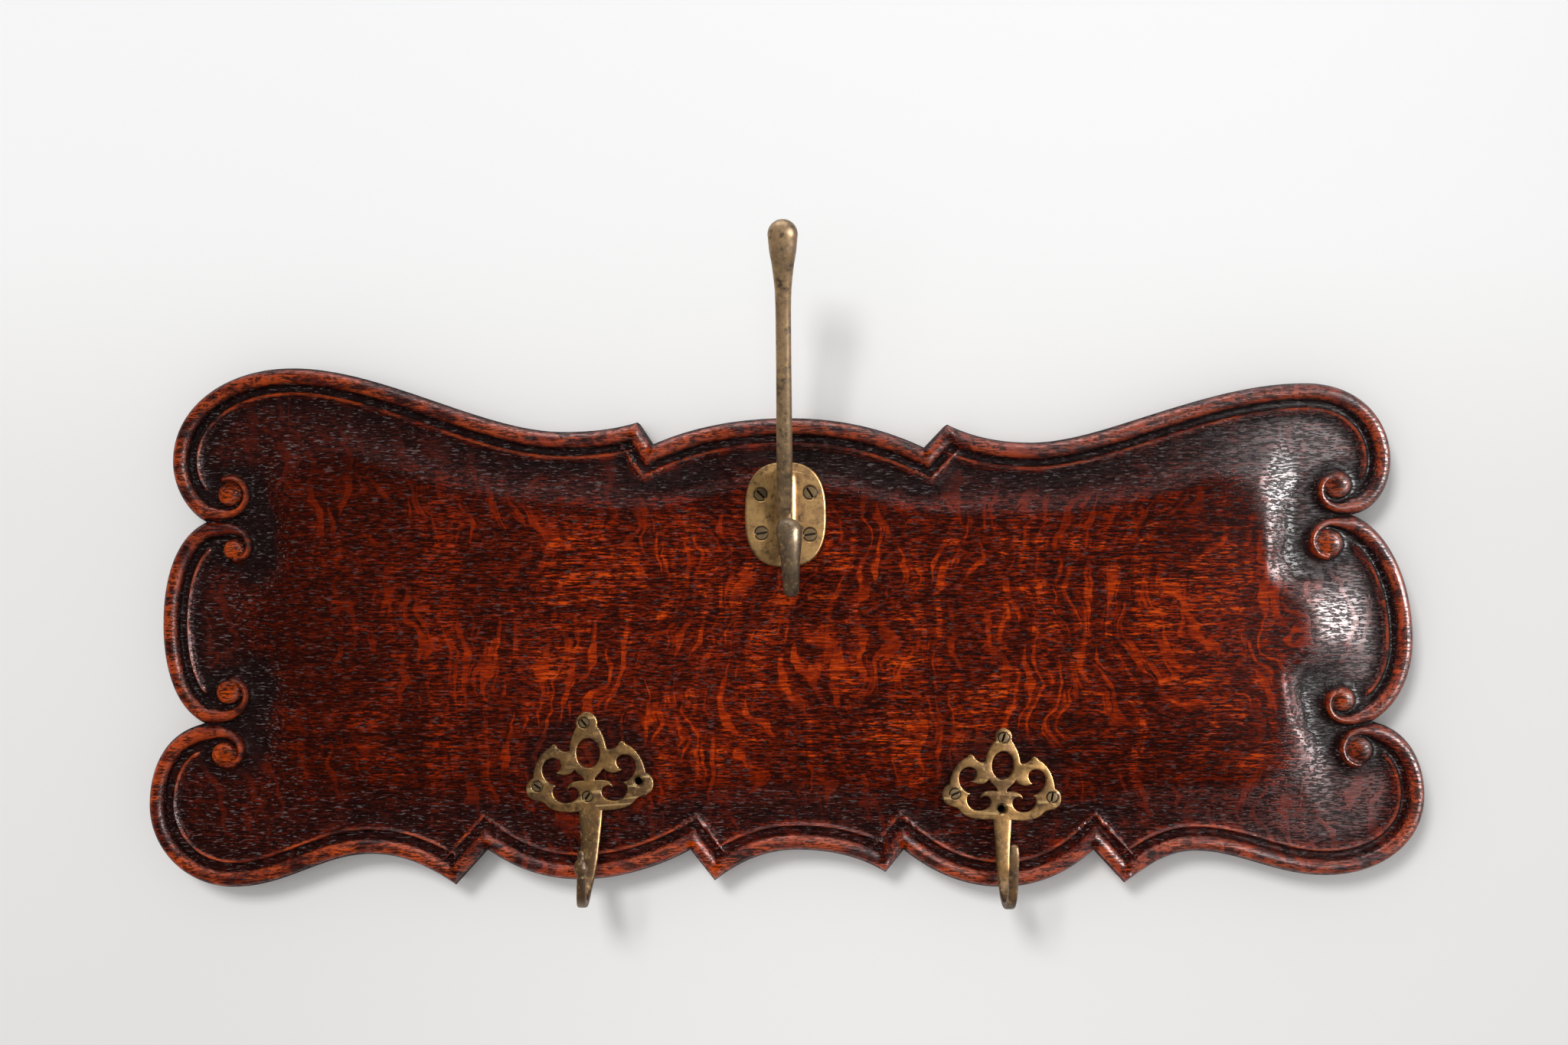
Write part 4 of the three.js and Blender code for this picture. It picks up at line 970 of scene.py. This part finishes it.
def oak_dirt_and_painted_light(n, f, colour):
    """Dark old polish and painted shade in the hollows and on the slopes, less of both low on the board as
    painted light, darker wood round the coat hooks, and grey dashes in some pores that are partly dirt and
    partly painted glints.
    """
    # Painted shade and dark old polish low on the slopes, towards the border.
    slopes = n.times(
        n.ramp(f.level, 0.5, 0.0),
        n.ramp(f.patches, 0.38, 0.64, 0.0, 0.55),
        n.ramp(f.dashes, 0.4, 0.58, 1.0, 0.35),
    )
    # Painted shade and dark old polish in the hollows. Less of both low on the board is painted light, where
    # the parts face down.
    grime_and_shade = n.times(
        n.most(n.times(f.hollow, n.ramp(f.level, 0.98, 0.7)), slopes),
        n.ramp(f.fine, 0.45, 0.1),
        n.ramp(n.z, -0.05, -0.085, 1.0, 0.7),
    )
    # The wood is also darker round and inside each coat hook's plate.
    grime_and_shade = n.most(grime_and_shade, *(beside_plate(n, hook) for hook in COAT_HOOKS))
    # Grey dashes in some pores: partly dirt and partly painted glints.
    dust_and_glints = n.times(
        n.ramp(n.noise((240, 900, 1250), 2, 0.6), 0.59, 0.66),
        n.ramp(f.flakes, 0.0, 1.0, 1.0, 0.3),
        n.ramp(f.level, 1.0, 0.4, 0.25, 0.6),
        n.ramp(f.fine, 0.2, 0.6, 1.0, 0.25),
    )
    colour = n.mix(n.times(grime_and_shade, 0.92), colour, OAK["grime_and_shade"])
    colour = n.mix(n.times(f.pores, 0.85), colour, OAK["pore"])
    return n.mix(dust_and_glints, colour, OAK["dust_and_glints"])


def oak_gloss(n, f):
    """The polish is best on the crests and on the right slopes, and dull in pores and hollows."""
    right = n.times(n.ramp(n.x, 0.16, 0.25, 0.25, 1.0), n.ramp(n.z, -0.085, -0.02, 0.45, 1.0))
    return n.times(
        n.ramp(f.pores, 0.0, 0.8, 1.0, 0.35),
        n.ramp(f.field, 0.0, 1.0, 0.7, 0.12),
        n.ramp(f.hollow, 0.2, 0.7, 1.0, 0.4),
        n.most(right, n.ramp(f.fine, 0.1, 0.4, 0.0, 0.9)),
        n.ramp(n.x, -0.25, -0.1, 0.5, 1.0),
        n.ramp(n.y, -0.012, -0.016, 0.25, 1.0),
    )


def oak_bump(n, f):
    """Open pores and a fine grain, stronger on the slopes than on the field."""
    grain = n.plus(n.times(f.dashes, 0.3), n.times(n.noise(1100, 2, 0.6), 0.3))
    height = n.folded("SUBTRACT", grain, f.pores)
    return n.bump(height, n.ramp(f.level, 0.95, 0.4, 0.2, 0.5), 0.0004)


def oak_material():
    """Quarter-sawn oak, darkly stained: dark pores along the board and bright ray flakes across it."""
    n = Nodes("oak")
    f = oak_figure(n)
    return n.shown({
        "Base Color": oak_dirt_and_painted_light(n, f, oak_worn_and_painted_light(n, f, oak_wood(n, f))),
        "Roughness": n.plus(n.times(f.pores, 0.15), n.ramp(f.field, 0.0, 1.0, 0.4, 0.22)),
        "Specular IOR Level": oak_gloss(n, f),
        "Normal": oak_bump(n, f),
    })


def brass_material():
    """Cast brass: a golden plate next to the wood, brown tarnish on the arms in front of it, painted
    highlights on its edges and painted shade in its empty holes.
    """
    n = Nodes("hook_brass")
    patina = n.noise(60, 5, 0.65)

    def aged(name, low, high):
        return n.mix(n.ramp(patina, low, high), *BRASS[name])

    arms = n.ramp(n.y, -0.026, -0.036)
    arm_colour = n.mix(n.ramp(n.z, 0.062, 0.044), aged("brown", 0.35, 0.65), aged("olive", 0.35, 0.65))
    colour = n.mix(arms, aged("golden", 0.38, 0.62), arm_colour)
    colour = n.mix(n.ramp(n.z, -0.03, -0.035, 0.0, 0.6), colour, aged("rusty", 0.42, 0.56))
    left_stem = n.times(n.ramp(n.x, -0.04, -0.06), n.ramp(n.z, -0.086, -0.098, 0.1, 0.6))
    colour = n.mix(left_stem, colour, BRASS["stem"])
    for hook in COAT_HOOKS:
        for x, z in empty_holes(hook):
            towards = n.vector_math("ADD", n.place, (-x * MM, 0.0, -z * MM))
            towards = n.vector_math("MULTIPLY", towards, (1.0, 0.0, 1.0))
            away = n.vector_math("LENGTH", towards, output="Value")
            # Painted shade: the brass round an empty hole is made dark.
            dark = n.ramp(away, *(v * MM for v in HOLE_SHADE), 0.0, 0.92)
            colour = n.mix(dark, colour, BRASS["hole"])
    mottle = n.noise(420, 4, 0.7)
    colour = n.mix(n.ramp(mottle, 0.5, 0.7, 0.0, 0.45), colour, BRASS["dull"])
    colour = n.mix(n.ramp(mottle, 0.48, 0.34, 0.0, 0.35), colour, BRASS["bright"])
    colour = n.mix(n.ramp(n.noise(240, 4, 0.7), 0.54, 0.7, 0.0, 0.75), colour, BRASS["stain"])
    # Painted highlight: the convex edges are mixed towards a bright colour.
    edges = n.add("ShaderNodeNewGeometry", {}, "Pointiness")
    return n.shown({
        "Base Color": n.mix(n.ramp(edges, 0.53, 0.6, 0.0, 0.5), colour, BRASS["edge"]),
        "Metallic": n.ramp(arms, 0.0, 1.0, 0.65, 0.4),
        "Roughness": n.plus(n.ramp(patina, 0.3, 0.7, 0.36, 0.48), n.times(arms, 0.06)),
        "Normal": n.bump(n.noise(900, 3, 0.6), 0.12, 0.0002),
    })


def screw_material():
    """Duller brass, with dirt and painted shade in the slots and round the rims."""
    n = Nodes("screw_brass")
    patina = n.noise(160, 4, 0.65)
    colour = n.mix(n.ramp(patina, 0.38, 0.64), *BRASS["screw"])
    return n.shown({
        "Base Color": n.mix(n.times(n.attribute("grime_and_shade"), 0.92), colour, BRASS["grime_and_shade"]),
        "Metallic": 0.7,
        "Roughness": n.ramp(patina, 0.3, 0.7, 0.3, 0.45),
        "Normal": n.bump(n.noise(900, 3, 0.6), 0.12, 0.0002),
    })


def wall_material():
    """Painted shade on the wall: nearly white at the top, a warm light grey lower down, and darker to the
    left.
    """
    n = Nodes("wall")
    lower = n.mix(n.ramp(n.x, -0.35, 0.1), *WALL_LOWER)
    upper = n.mix(n.ramp(n.x, -0.4, 0.4), *WALL_UPPER)
    colour = n.mix(n.ramp(n.z, 0.05, 0.2), lower, upper)
    return n.shown({"Base Color": colour, "Roughness": 0.9, "Specular IOR Level": 0.0})


def add_object(name, data, place):
    """Puts a camera or a lamp into the scene."""
    obj = bpy.data.objects.new(name, data)
    bpy.context.scene.collection.objects.link(obj)
    obj.location = place
    return obj


def add_camera():
    """The photo was taken square to the board from a little above its middle."""
    data = bpy.data.cameras.new("camera")
    data.sensor_width = SENSOR_WIDTH
    data.lens = LENS_LENGTH
    obj = add_object("camera", data, [v * MM for v in CAMERA_PLACE])
    obj.rotation_euler = (math.pi / 2, 0, 0)
    bpy.context.scene.camera = obj


def add_wall():
    """A plain wall right behind the board."""
    sides = ((-1, WALL_LOW), (1, WALL_LOW), (1, WALL_HIGH), (-1, WALL_HIGH))
    corners = [(side * WALL_HALF_WIDTH, WALL_GAP, z) for side, z in sides]
    wall = mesh_object("wall", corners, [(0, 1, 2, 3)])
    wall.data.materials.append(wall_material())


def light_scene():
    """Plain light from the room and two soft lamps, and two lamps that only polished places mirror."""
    for name, place, aim, size, power, spread, unseen in LAMPS:
        light = bpy.data.lights.new(name, "AREA")
        light.shape = "RECTANGLE"
        light.size, light.size_y = size
        light.energy = power
        light.spread = math.radians(spread)
        lamp = add_object(name, light, place)
        lamp.rotation_euler = (Vector(aim) - Vector(place)).to_track_quat("-Z", "Y").to_euler()
        setattr(lamp, unseen, False)
    world = bpy.context.scene.world or bpy.data.worlds.new("world")
    bpy.context.scene.world = world
    world.use_nodes = True
    background = world.node_tree.nodes["Background"]
    background.inputs["Color"].default_value = (1.0, 1.0, 1.0, 1)
    background.inputs["Strength"].default_value = ROOM_LIGHT
    world.cycles_visibility.glossy = False


def dress(obj, node, material, sharp_angle):
    """Smooths a finished piece, gives it its material and puts it in its CAD node's place."""
    mesh = obj.data
    count = len(mesh.polygons)
    mesh.polygons.foreach_set("use_smooth", np.ones(count, bool))
    mesh.set_sharp_from_angle(angle=math.radians(sharp_angle))
    mesh.materials.clear()
    mesh.materials.append(material)
    mesh.polygons.foreach_set("material_index", np.zeros(count, np.int32))
    mesh.update()
    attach(obj, "root")
    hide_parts(node)


def build_board():
    """The carved board, with its keyholes and with a pilot hole where a hook has no screw."""
    board = board_mesh()
    cutter = keyhole_cutter(-KEYHOLE_X, KEYHOLE_Z)
    combine(cutter, keyhole_cutter(KEYHOLE_X, KEYHOLE_Z), "UNION")
    radius = COAT_SCREW["shank"] / 2 + SEAT_GAP
    bottom = -BOARD_THICKNESS + COAT_SCREW["length"] - COAT_SCREW["thickness"]
    for hook in COAT_HOOKS:
        for x, z in empty_holes(hook):
            pilot = cylinder_along_y("pilot", x, z, radius, -BOARD_THICKNESS - CUT_PAST, bottom)
            combine(cutter, pilot, "UNION")
    combine(board, cutter, "DIFFERENCE")
    relief_attributes(board)
    dress(board, "board", oak_material(), BOARD_SHARP_ANGLE)


def catmull_point(points, t):
    """A point on the centripetal spline through the points, with t from 0 to 1."""
    last = len(points) - 1
    place = last * t
    i = min(int(place), last - 1)
    w = place - i
    p1, p2 = points[i], points[i + 1]
    p0 = points[i - 1] if i else 2 * p1 - p2
    p3 = points[i + 2] if i + 2 <= last else 2 * p2 - p1
    d0, d1, d2 = (max(np.linalg.norm(b - a), 1e-6) ** 0.5 for a, b in ((p0, p1), (p1, p2), (p2, p3)))
    t1 = ((p1 - p0) / d0 - (p2 - p0) / (d0 + d1) + (p2 - p1) / d1) * d1
    t2 = ((p2 - p1) / d1 - (p3 - p1) / (d1 + d2) + (p3 - p2) / d2) * d1
    return p1 + t1 * w + (-3 * p1 + 3 * p2 - 2 * t1 - t2) * w**2 + (2 * p1 - 2 * p2 + t1 + t2) * w**3


def skin(first, count, rows):
    """The faces between closed rows of count vertices each, the first of which is numbered first."""
    faces = []
    for a in range(first, first + (rows - 1) * count, count):
        for k in range(count):
            j = (k + 1) % count
            faces.append((a + k, a + j, a + count + j, a + count + k))
    return faces


def loft(name, rings):
    """A closed solid over rings of equally many points."""
    count = len(rings[0])
    end = (len(rings) - 1) * count
    caps = [tuple(reversed(range(count))), tuple(range(end, end + count))]
    obj = mesh_object(name, np.vstack(rings), skin(0, count, len(rings)) + caps)
    recalculate_normals(obj)
    return obj


def rounded(v, squareness):
    """Bends a circle's cosines or sines towards a square's: 2 leaves them as they are."""
    return np.sign(v) * np.abs(v) ** (2 / squareness)


def bar(name, stations, squareness, x=0.0):
    """A bar along a bent line. Each station is y, z, width, depth and, where it has its own, x."""
    full = [tuple(s) + (x,) if len(s) == 4 else tuple(s) for s in stations]
    line = [np.array([x, y, z]) for y, z, _, _, x in full]
    sizes = [np.array([w, d, 0.0]) for _, _, w, d, _ in full]
    angle = 2 * math.pi * (np.arange(BAR_SIDES) + 0.5) / BAR_SIDES
    across = rounded(np.cos(angle), squareness) / 2
    off = rounded(np.sin(angle), squareness) / 2
    small = 1e-4

    def ring(centre, tangent, width, depth):
        normal = np.array([0, -tangent[2], tangent[1]])
        normal /= np.linalg.norm(normal)
        return centre + np.outer(across * width, [1, 0, 0]) + np.outer(off * depth, normal)

    rings = []
    for step in range(BAR_STEPS + 1):
        t = step / BAR_STEPS
        ahead = catmull_point(line, min(1, t + small))
        behind = catmull_point(line, max(0, t - small))
        tangent = (ahead - behind) / np.linalg.norm(ahead - behind)
        width, depth, _ = catmull_point(sizes, t)
        rings.append(ring(catmull_point(line, t), tangent, width, depth))
    width, depth = full[-1][2:4]
    for turn in np.radians(BAR_CAP_TURNS):
        centre = line[-1] + tangent * width / 2 * math.sin(turn)
        rings.append(ring(centre, tangent, width * math.cos(turn), depth * math.cos(turn)))
    return loft(name, rings)


def turned(name, profile):
    """A solid turned about the Y axis from points of radius and y, closed at both ends."""
    angle = np.linspace(0, 2 * math.pi, TURNED_SIDES, endpoint=False)
    rings = []
    for radius, y in profile:
        x, z = radius * np.cos(angle), radius * np.sin(angle)
        rings.append(np.stack([x, np.full(TURNED_SIDES, y), z], axis=1))
    return loft(name, rings)


def vertex_places(obj):
    """Where an object's vertices are, in millimetres."""
    places = np.zeros(len(obj.data.vertices) * 3)
    obj.data.vertices.foreach_get("co", places)
    return places.reshape(-1, 3) / MM


def add_attribute(obj, name, values):
    layer = obj.data.attributes.new(name, "FLOAT", "POINT")
    layer.data.foreach_set("value", values.astype(np.float32))


def shift(obj, offset=(0, 0, 0), tilt=0.0):
    """Turns a mesh about Y by some degrees and moves it, in millimetres, in its own vertices."""
    x, y, z = vertex_places(obj).T
    c, s = math.cos(math.radians(tilt)), math.sin(math.radians(tilt))
    moved = np.stack([x * c + z * s, y, z * c - x * s], axis=1) + np.array(offset)
    obj.data.vertices.foreach_set("co", (moved * MM).ravel())
    obj.data.update()


def hole_cutter(screw, x, z):
    """A countersunk hole, a little wider all round than the screw that sits in it."""
    narrow = screw["shank"] / 2 + SEAT_GAP
    wide = screw["head"] / 2 + HEAD_CLEARANCE
    face = -screw["thickness"]
    profile = [(narrow, CUT_PAST), (narrow, face + wide - narrow), (wide, face), (wide, face - CUT_PAST)]
    cutter = turned("hole", profile)
    shift(cutter, (x, 0, z))
    return cutter


def screw_object(name, screw, slot):
    """A slotted countersunk screw with its face at y = 0 and a faintly rounded rim."""
    r = screw["head"] / 2
    shank = screw["shank"] / 2
    rim = SCREW_RIM
    edge = SCREW_RIM_ROUNDING * rim
    profile = [(SCREW_CORE, 0), (r - 2 * rim, 0), (r - rim, SCREW_CROWN), (r - edge, edge), (r, rim)]
    profile += [(shank, r - shank), (shank, screw["length"] - 2 * shank), (SCREW_CORE, screw["length"])]
    obj = turned(name, profile)
    half = SLOT_WIDTH / 2
    end = r + CUT_PAST
    combine(obj, box_between("slot", (-end, -SLOT_DEPTH, -half), (end, SLOT_DEPTH, half)), "DIFFERENCE")
    # Dirt and painted shade: the rim and the inside of the slot are marked to be made dark.
    places = vertex_places(obj)
    dirty_and_shaded = np.hypot(places[:, 0], places[:, 2]) > r - rim - TOUCH
    dirty_and_shaded |= places[:, 1] > SLOT_GRIME_AND_SHADE_DEPTH
    add_attribute(obj, "grime_and_shade", dirty_and_shaded)
    shift(obj, tilt=-slot)
    return obj


def hat_plate():
    """The plate's outline lies between an oval and a rectangle, and its front edge is round."""
    angle = np.linspace(0, 2 * math.pi, HAT_PLATE_SIDES, endpoint=False)
    across = rounded(np.cos(angle), HAT_PLATE_SQUARENESS)
    up = rounded(np.sin(angle), HAT_PLATE_SQUARENESS)

    def ring(inset, y):
        width, height = HAT_PLATE_WIDTH / 2 - inset, HAT_PLATE_HEIGHT / 2 - inset
        return np.stack([across * width, np.full(len(angle), y), up * height], axis=1)

    b = HAT_PLATE_BEVEL
    rings = [ring(0, 0)]
    for turn in np.radians(HAT_BEVEL_TURNS):
        rings.append(ring(b * (1 - math.cos(turn)), -(HAT_PLATE_THICKNESS - b) - b * math.sin(turn)))
    return loft("hat_hook_casting", rings)


def hat_mound():
    """A low wide rib on the plate and a narrower spine on it, from which both arms grow."""
    back, wide = -HAT_PLATE_THICKNESS / 2, HAT_RIB_WIDTH
    rib = [
        (back - 0.4, -19, 0.7 * wide, 2.4), (back - 0.9, -8, wide, 4.2),
        (back - 0.9, 16, wide, 4.2), (back - 0.3, 21, 0.85 * wide, 2.2),
    ]
    spine = [
        (back, -16, 5, 2), (back - 3, -8, 6.6, 7), (back - 5, 4, 7.2, 9),
        (back - 5, 16, 7.3, 7), (back - 2, 20, 7.3, 3),
    ]
    return bar("rib", rib, 2.2, HAT_ARM_X), bar("spine", spine, 4, HAT_ARM_X)


def hat_arm():
    """The tall arm, which leans out from the wall and swells into a long drop-shaped knob."""
    back, reach, rise, knob = -HAT_PLATE_THICKNESS / 2, HAT_REACH, HAT_RISE, HAT_KNOB_WIDTH
    stations = [
        (back - 3.5, -4, 6, 6), (-0.19 * reach, 8, 7, 8), (-0.4 * reach, 0.22 * rise, 7.3, 8),
        (-0.57 * reach, 0.4 * rise, 7.1, 7), (-0.69 * reach, 0.56 * rise, HAT_ARM_WIDTH, HAT_ARM_DEPTH),
        (-0.8 * reach, 0.72 * rise, HAT_ARM_WIDTH, HAT_ARM_DEPTH),
        (-0.87 * reach, 0.81 * rise, 0.56 * knob, 0.54 * knob),
        (-0.93 * reach, 0.89 * rise, 0.72 * knob, 0.68 * knob),
        (-0.97 * reach, 0.945 * rise, 0.9 * knob, 0.86 * knob), (-reach, rise, knob, 0.95 * knob),
    ]
    return bar("arm", stations, 2.6, HAT_ARM_X)


def hat_prong():
    """The short prong, which bends out, up and a little to the right and ends in its own knob."""
    back, reach, knob = -HAT_PLATE_THICKNESS / 2, HAT_PRONG_REACH, HAT_PRONG_KNOB
    x, width = HAT_PRONG_X, HAT_PRONG_WIDTH
    stations = [
        (back - 2.5, -4, 6, 5, 0), (-0.24 * reach, -15, 6.8, 8, 0.35 * x),
        (-0.5 * reach, -28.5, width, 7.5, 0.8 * x), (-0.74 * reach, -34, width, 7, x),
        (-0.92 * reach, -27, 0.65 * knob, 7.4, 0.95 * x), (-reach, -18, 0.77 * knob, 8.4, 0.85 * x),
        (-1.01 * reach, -12, 0.93 * knob, 0.88 * knob, 0.75 * x), (-reach, -7.6, knob, 0.95 * knob, 0.65 * x),
    ]
    return bar("prong", stations, 2.3)


def hat_hook():
    """The plate, the mound, the arm and the prong as one casting with its screw holes."""
    hook = hat_plate()
    for piece in (*hat_mound(), hat_arm(), hat_prong()):
        combine(hook, piece, "UNION")
    for _, x, z, _ in HAT_SCREWS:
        combine(hook, hole_cutter(HAT_SCREW, x, z), "DIFFERENCE")
    return hook


def curve_points(runs, chords):
    """Points along a line of curves that is given as its start and three points for each curve."""
    points = [np.array(runs[0], float)]
    for run in runs[1:]:
        points += bezier(points[-1], run, chords)
    return np.array(points)


def closed_mitres(points):
    return mitres(np.vstack([points[-1:], points, points[:1]]))[1:-1]


def pierced_plate(name, loops, thickness, bevel):
    """A flat plate with openings and rounded front edges. Each loop has the metal on its right."""
    levels = [(0, 0)]
    for turn in np.radians(COAT_BEVEL_TURNS):
        levels.append((bevel * (1 - math.cos(turn)), -(thickness - bevel) - bevel * math.sin(turn)))
    vertices, faces = [], []
    caps = {0: [], len(levels) - 1: []}
    total = 0
    for loop in loops:
        steps = closed_mitres(loop)
        count = len(loop)
        for level, (inset, y) in enumerate(levels):
            at = loop + steps * inset
            vertices.append(np.column_stack([at[:, 0], np.full(count, y), at[:, 1]]))
            if level in caps:
                caps[level].append((total + level * count, at))
        faces += skin(total, count, len(levels))
        total += count * len(levels)
    for parts in caps.values():
        index = [first + k for first, at in parts for k in range(len(at))]
        lines = [[Vector((p[0], p[1], 0)) for p in at] for _, at in parts]
        faces += [tuple(index[k] for k in triangle) for triangle in tessellate_polygon(lines)]
    obj = mesh_object(name, np.vstack(vertices), faces)
    recalculate_normals(obj)
    return obj


def plate_edge(lug):
    """Right half of the pierced plate's edge, from the top of its screw lug to the stem."""
    return (
        (0, 13.4 + lug),
        ((0.75 * lug, 13.4 + lug), (1.25 * lug, 14), (lug, 11.8)),
        ((lug + 1, 10.2), (7.4, 7), (8, 1.6)),
        ((9.6, 0.2), (11.6, 1.6), (13.2, 3)),
        ((13.6, 4.8), (15.6, 4.9), (16.4, 3.2)),
        ((20.6, 1.2), (23.6, -3.4), (24.4, -9.6)),
        ((28.4, -11.4), (28.8, -17.2), (24.6, -19)),
        ((22.6, -19.9), (20.6, -19.4), (19.2, -21.4)),
        ((16.4, -25), (9.6, -25.2), (4.6, PLATE_FOOT)),
    )


def plate_scale(hook):
    """How much wider and higher a hook's plate is than the drawn one."""
    return np.array([hook["plate_width"] / DRAWN_PLATE_WIDTH, hook["plate_height"] / DRAWN_PLATE_HEIGHT])


def placed_holes(hook):
    """Name of the screw, x, z and slot angle of each hole, from its drawn point and the plate's turn."""
    c, s = math.cos(math.radians(hook["turn"])), math.sin(math.radians(hook["turn"]))
    for place, at, slot in hook["holes"]:
        x, z = at * plate_scale(hook)
        name = f"{hook['name']}_screw_{place}" if place else None
        yield name, x * c - z * s, x * s + z * c, slot


def empty_holes(hook):
    """Where on the board a coat hook has a hole without a screw."""
    return [(hook["x"] + x, hook["z"] + z) for name, x, z, _ in placed_holes(hook) if name is None]


def coat_plate(hook):
    """A coat hook's pierced plate, with its scrolls, its oval and its turn."""
    scale = plate_scale(hook)
    half = curve_points(plate_edge(hook["lug"]), PLATE_CHORDS)
    edge = np.vstack([half, half[:0:-1] * [-1, 1]]) * scale
    scroll = curve_points(PLATE_SCROLL, SCROLL_CHORDS)[1:] * scale
    oval = circle(np.linspace(0, 2 * math.pi, OVAL_SIDES, endpoint=False)) * OVAL_HALF_SIZE * scale
    loops = [edge, scroll[::-1], scroll * [-1, 1], oval]
    plate = pierced_plate(hook["name"] + "_casting", loops, COAT_PLATE_THICKNESS, COAT_PLATE_BEVEL)
    shift(plate, tilt=-hook["turn"])
    return plate


def coat_bud(hook):
    """The small bud at the left hook's tip: a neck, a round bulb and a narrower cap."""
    tip, y = hook["tip"], -COAT_HOOK_REACH
    stations = [(y, height - tip, width, 0.92 * width) for height, width in BUD_PROFILE]
    stations.append((y, 0.7 - tip, 3.6, 3.3))
    return bar("bud", stations, 2.3, hook["prong_x"])


def coat_stem(hook):
    """The flat stem, which bends out below the board and up again to the hook's tip."""
    drop, tip, stem, prong = hook["drop"], hook["tip"], hook["stem_width"], COAT_PRONG_WIDTH
    stem_x, bend_x, prong_x = hook["stem_x"], hook["bend_x"], hook["prong_x"]
    top = PLATE_FOOT * plate_scale(hook)[1]
    middle = -COAT_PLATE_THICKNESS / 2
    reach = COAT_HOOK_REACH

    def below(share):
        return top - share * (drop + top)

    stations = [
        (middle, top + 3, stem, COAT_PLATE_THICKNESS, stem_x),
        (middle - 0.2, top - 3, 0.96 * stem, COAT_PLATE_THICKNESS + 0.3, stem_x),
        (middle - 1.2, below(0.3), 0.82 * stem, 3, stem_x),
        (-0.13 * reach, below(0.62), 0.71 * stem, 3.4, (stem_x + bend_x) / 2),
        (-0.3 * reach, -drop + 5.5, 1.3 * prong, 3.8, bend_x),
        (-0.55 * reach, -drop + 2, 1.15 * prong, 3.8, bend_x),
        (-0.84 * reach, -drop + 6.5, prong, 3.6, (prong_x + bend_x) / 2),
        (-0.98 * reach, -tip - 8, 0.86 * prong if hook["bud"] else prong, 3.4, prong_x),
    ]
    if not hook["bud"]:
        wide = hook["tip_width"]
        stations.append((-reach, -tip - 2.6, wide, 0.85 * wide, prong_x))
        stations.append((-reach, -tip, 0.88 * wide, 0.8 * wide, prong_x))
    return bar("stem", stations, 4)


def coat_hook(hook):
    """The pierced plate, the bud where there is one and the stem as one casting with its holes."""
    casting = coat_plate(hook)
    if hook["bud"]:
        combine(casting, coat_bud(hook), "UNION")
    combine(casting, coat_stem(hook), "UNION")
    for _, x, z, _ in placed_holes(hook):
        combine(casting, hole_cutter(COAT_SCREW, x, z), "DIFFERENCE")
    return casting


def seat(obj, node, material, x, z, tilt=0.0):
    """Puts a finished piece on the board in place of its CAD node."""
    shift(obj, (x, -SEAT, z), tilt)
    dress(obj, node, material, METAL_SHARP_ANGLE)


def build_screws(screw, places, material, x, z, tilt=0.0):
    """Turns a hook's screws and puts them in their holes. A hole without a name stays empty."""
    for name, sx, sz, slot in places:
        if name is None:
            continue
        obj = screw_object(name + "_turned", screw, slot)
        shift(obj, (sx, -screw["thickness"] + HEAD_RECESS, sz))
        seat(obj, name, material, x, z, tilt)


def build_hooks():
    """All three hooks and their screws, in their places on the board."""
    brass = brass_material()
    screw = screw_material()
    seat(hat_hook(), "hat_hook", brass, HAT_HOOK_X, HAT_HOOK_Z, HAT_HOOK_TILT)
    screws = [("hat_hook_screw_" + place, x, z, slot) for place, x, z, slot in HAT_SCREWS]
    build_screws(HAT_SCREW, screws, screw, HAT_HOOK_X, HAT_HOOK_Z, HAT_HOOK_TILT)
    for hook in COAT_HOOKS:
        seat(coat_hook(hook), hook["name"], brass, hook["x"], hook["z"])
        build_screws(COAT_SCREW, placed_holes(hook), screw, hook["x"], hook["z"])


bpy.context.scene.view_settings.view_transform = "Standard"
build_board()
build_hooks()
add_wall()
light_scene()
add_camera()
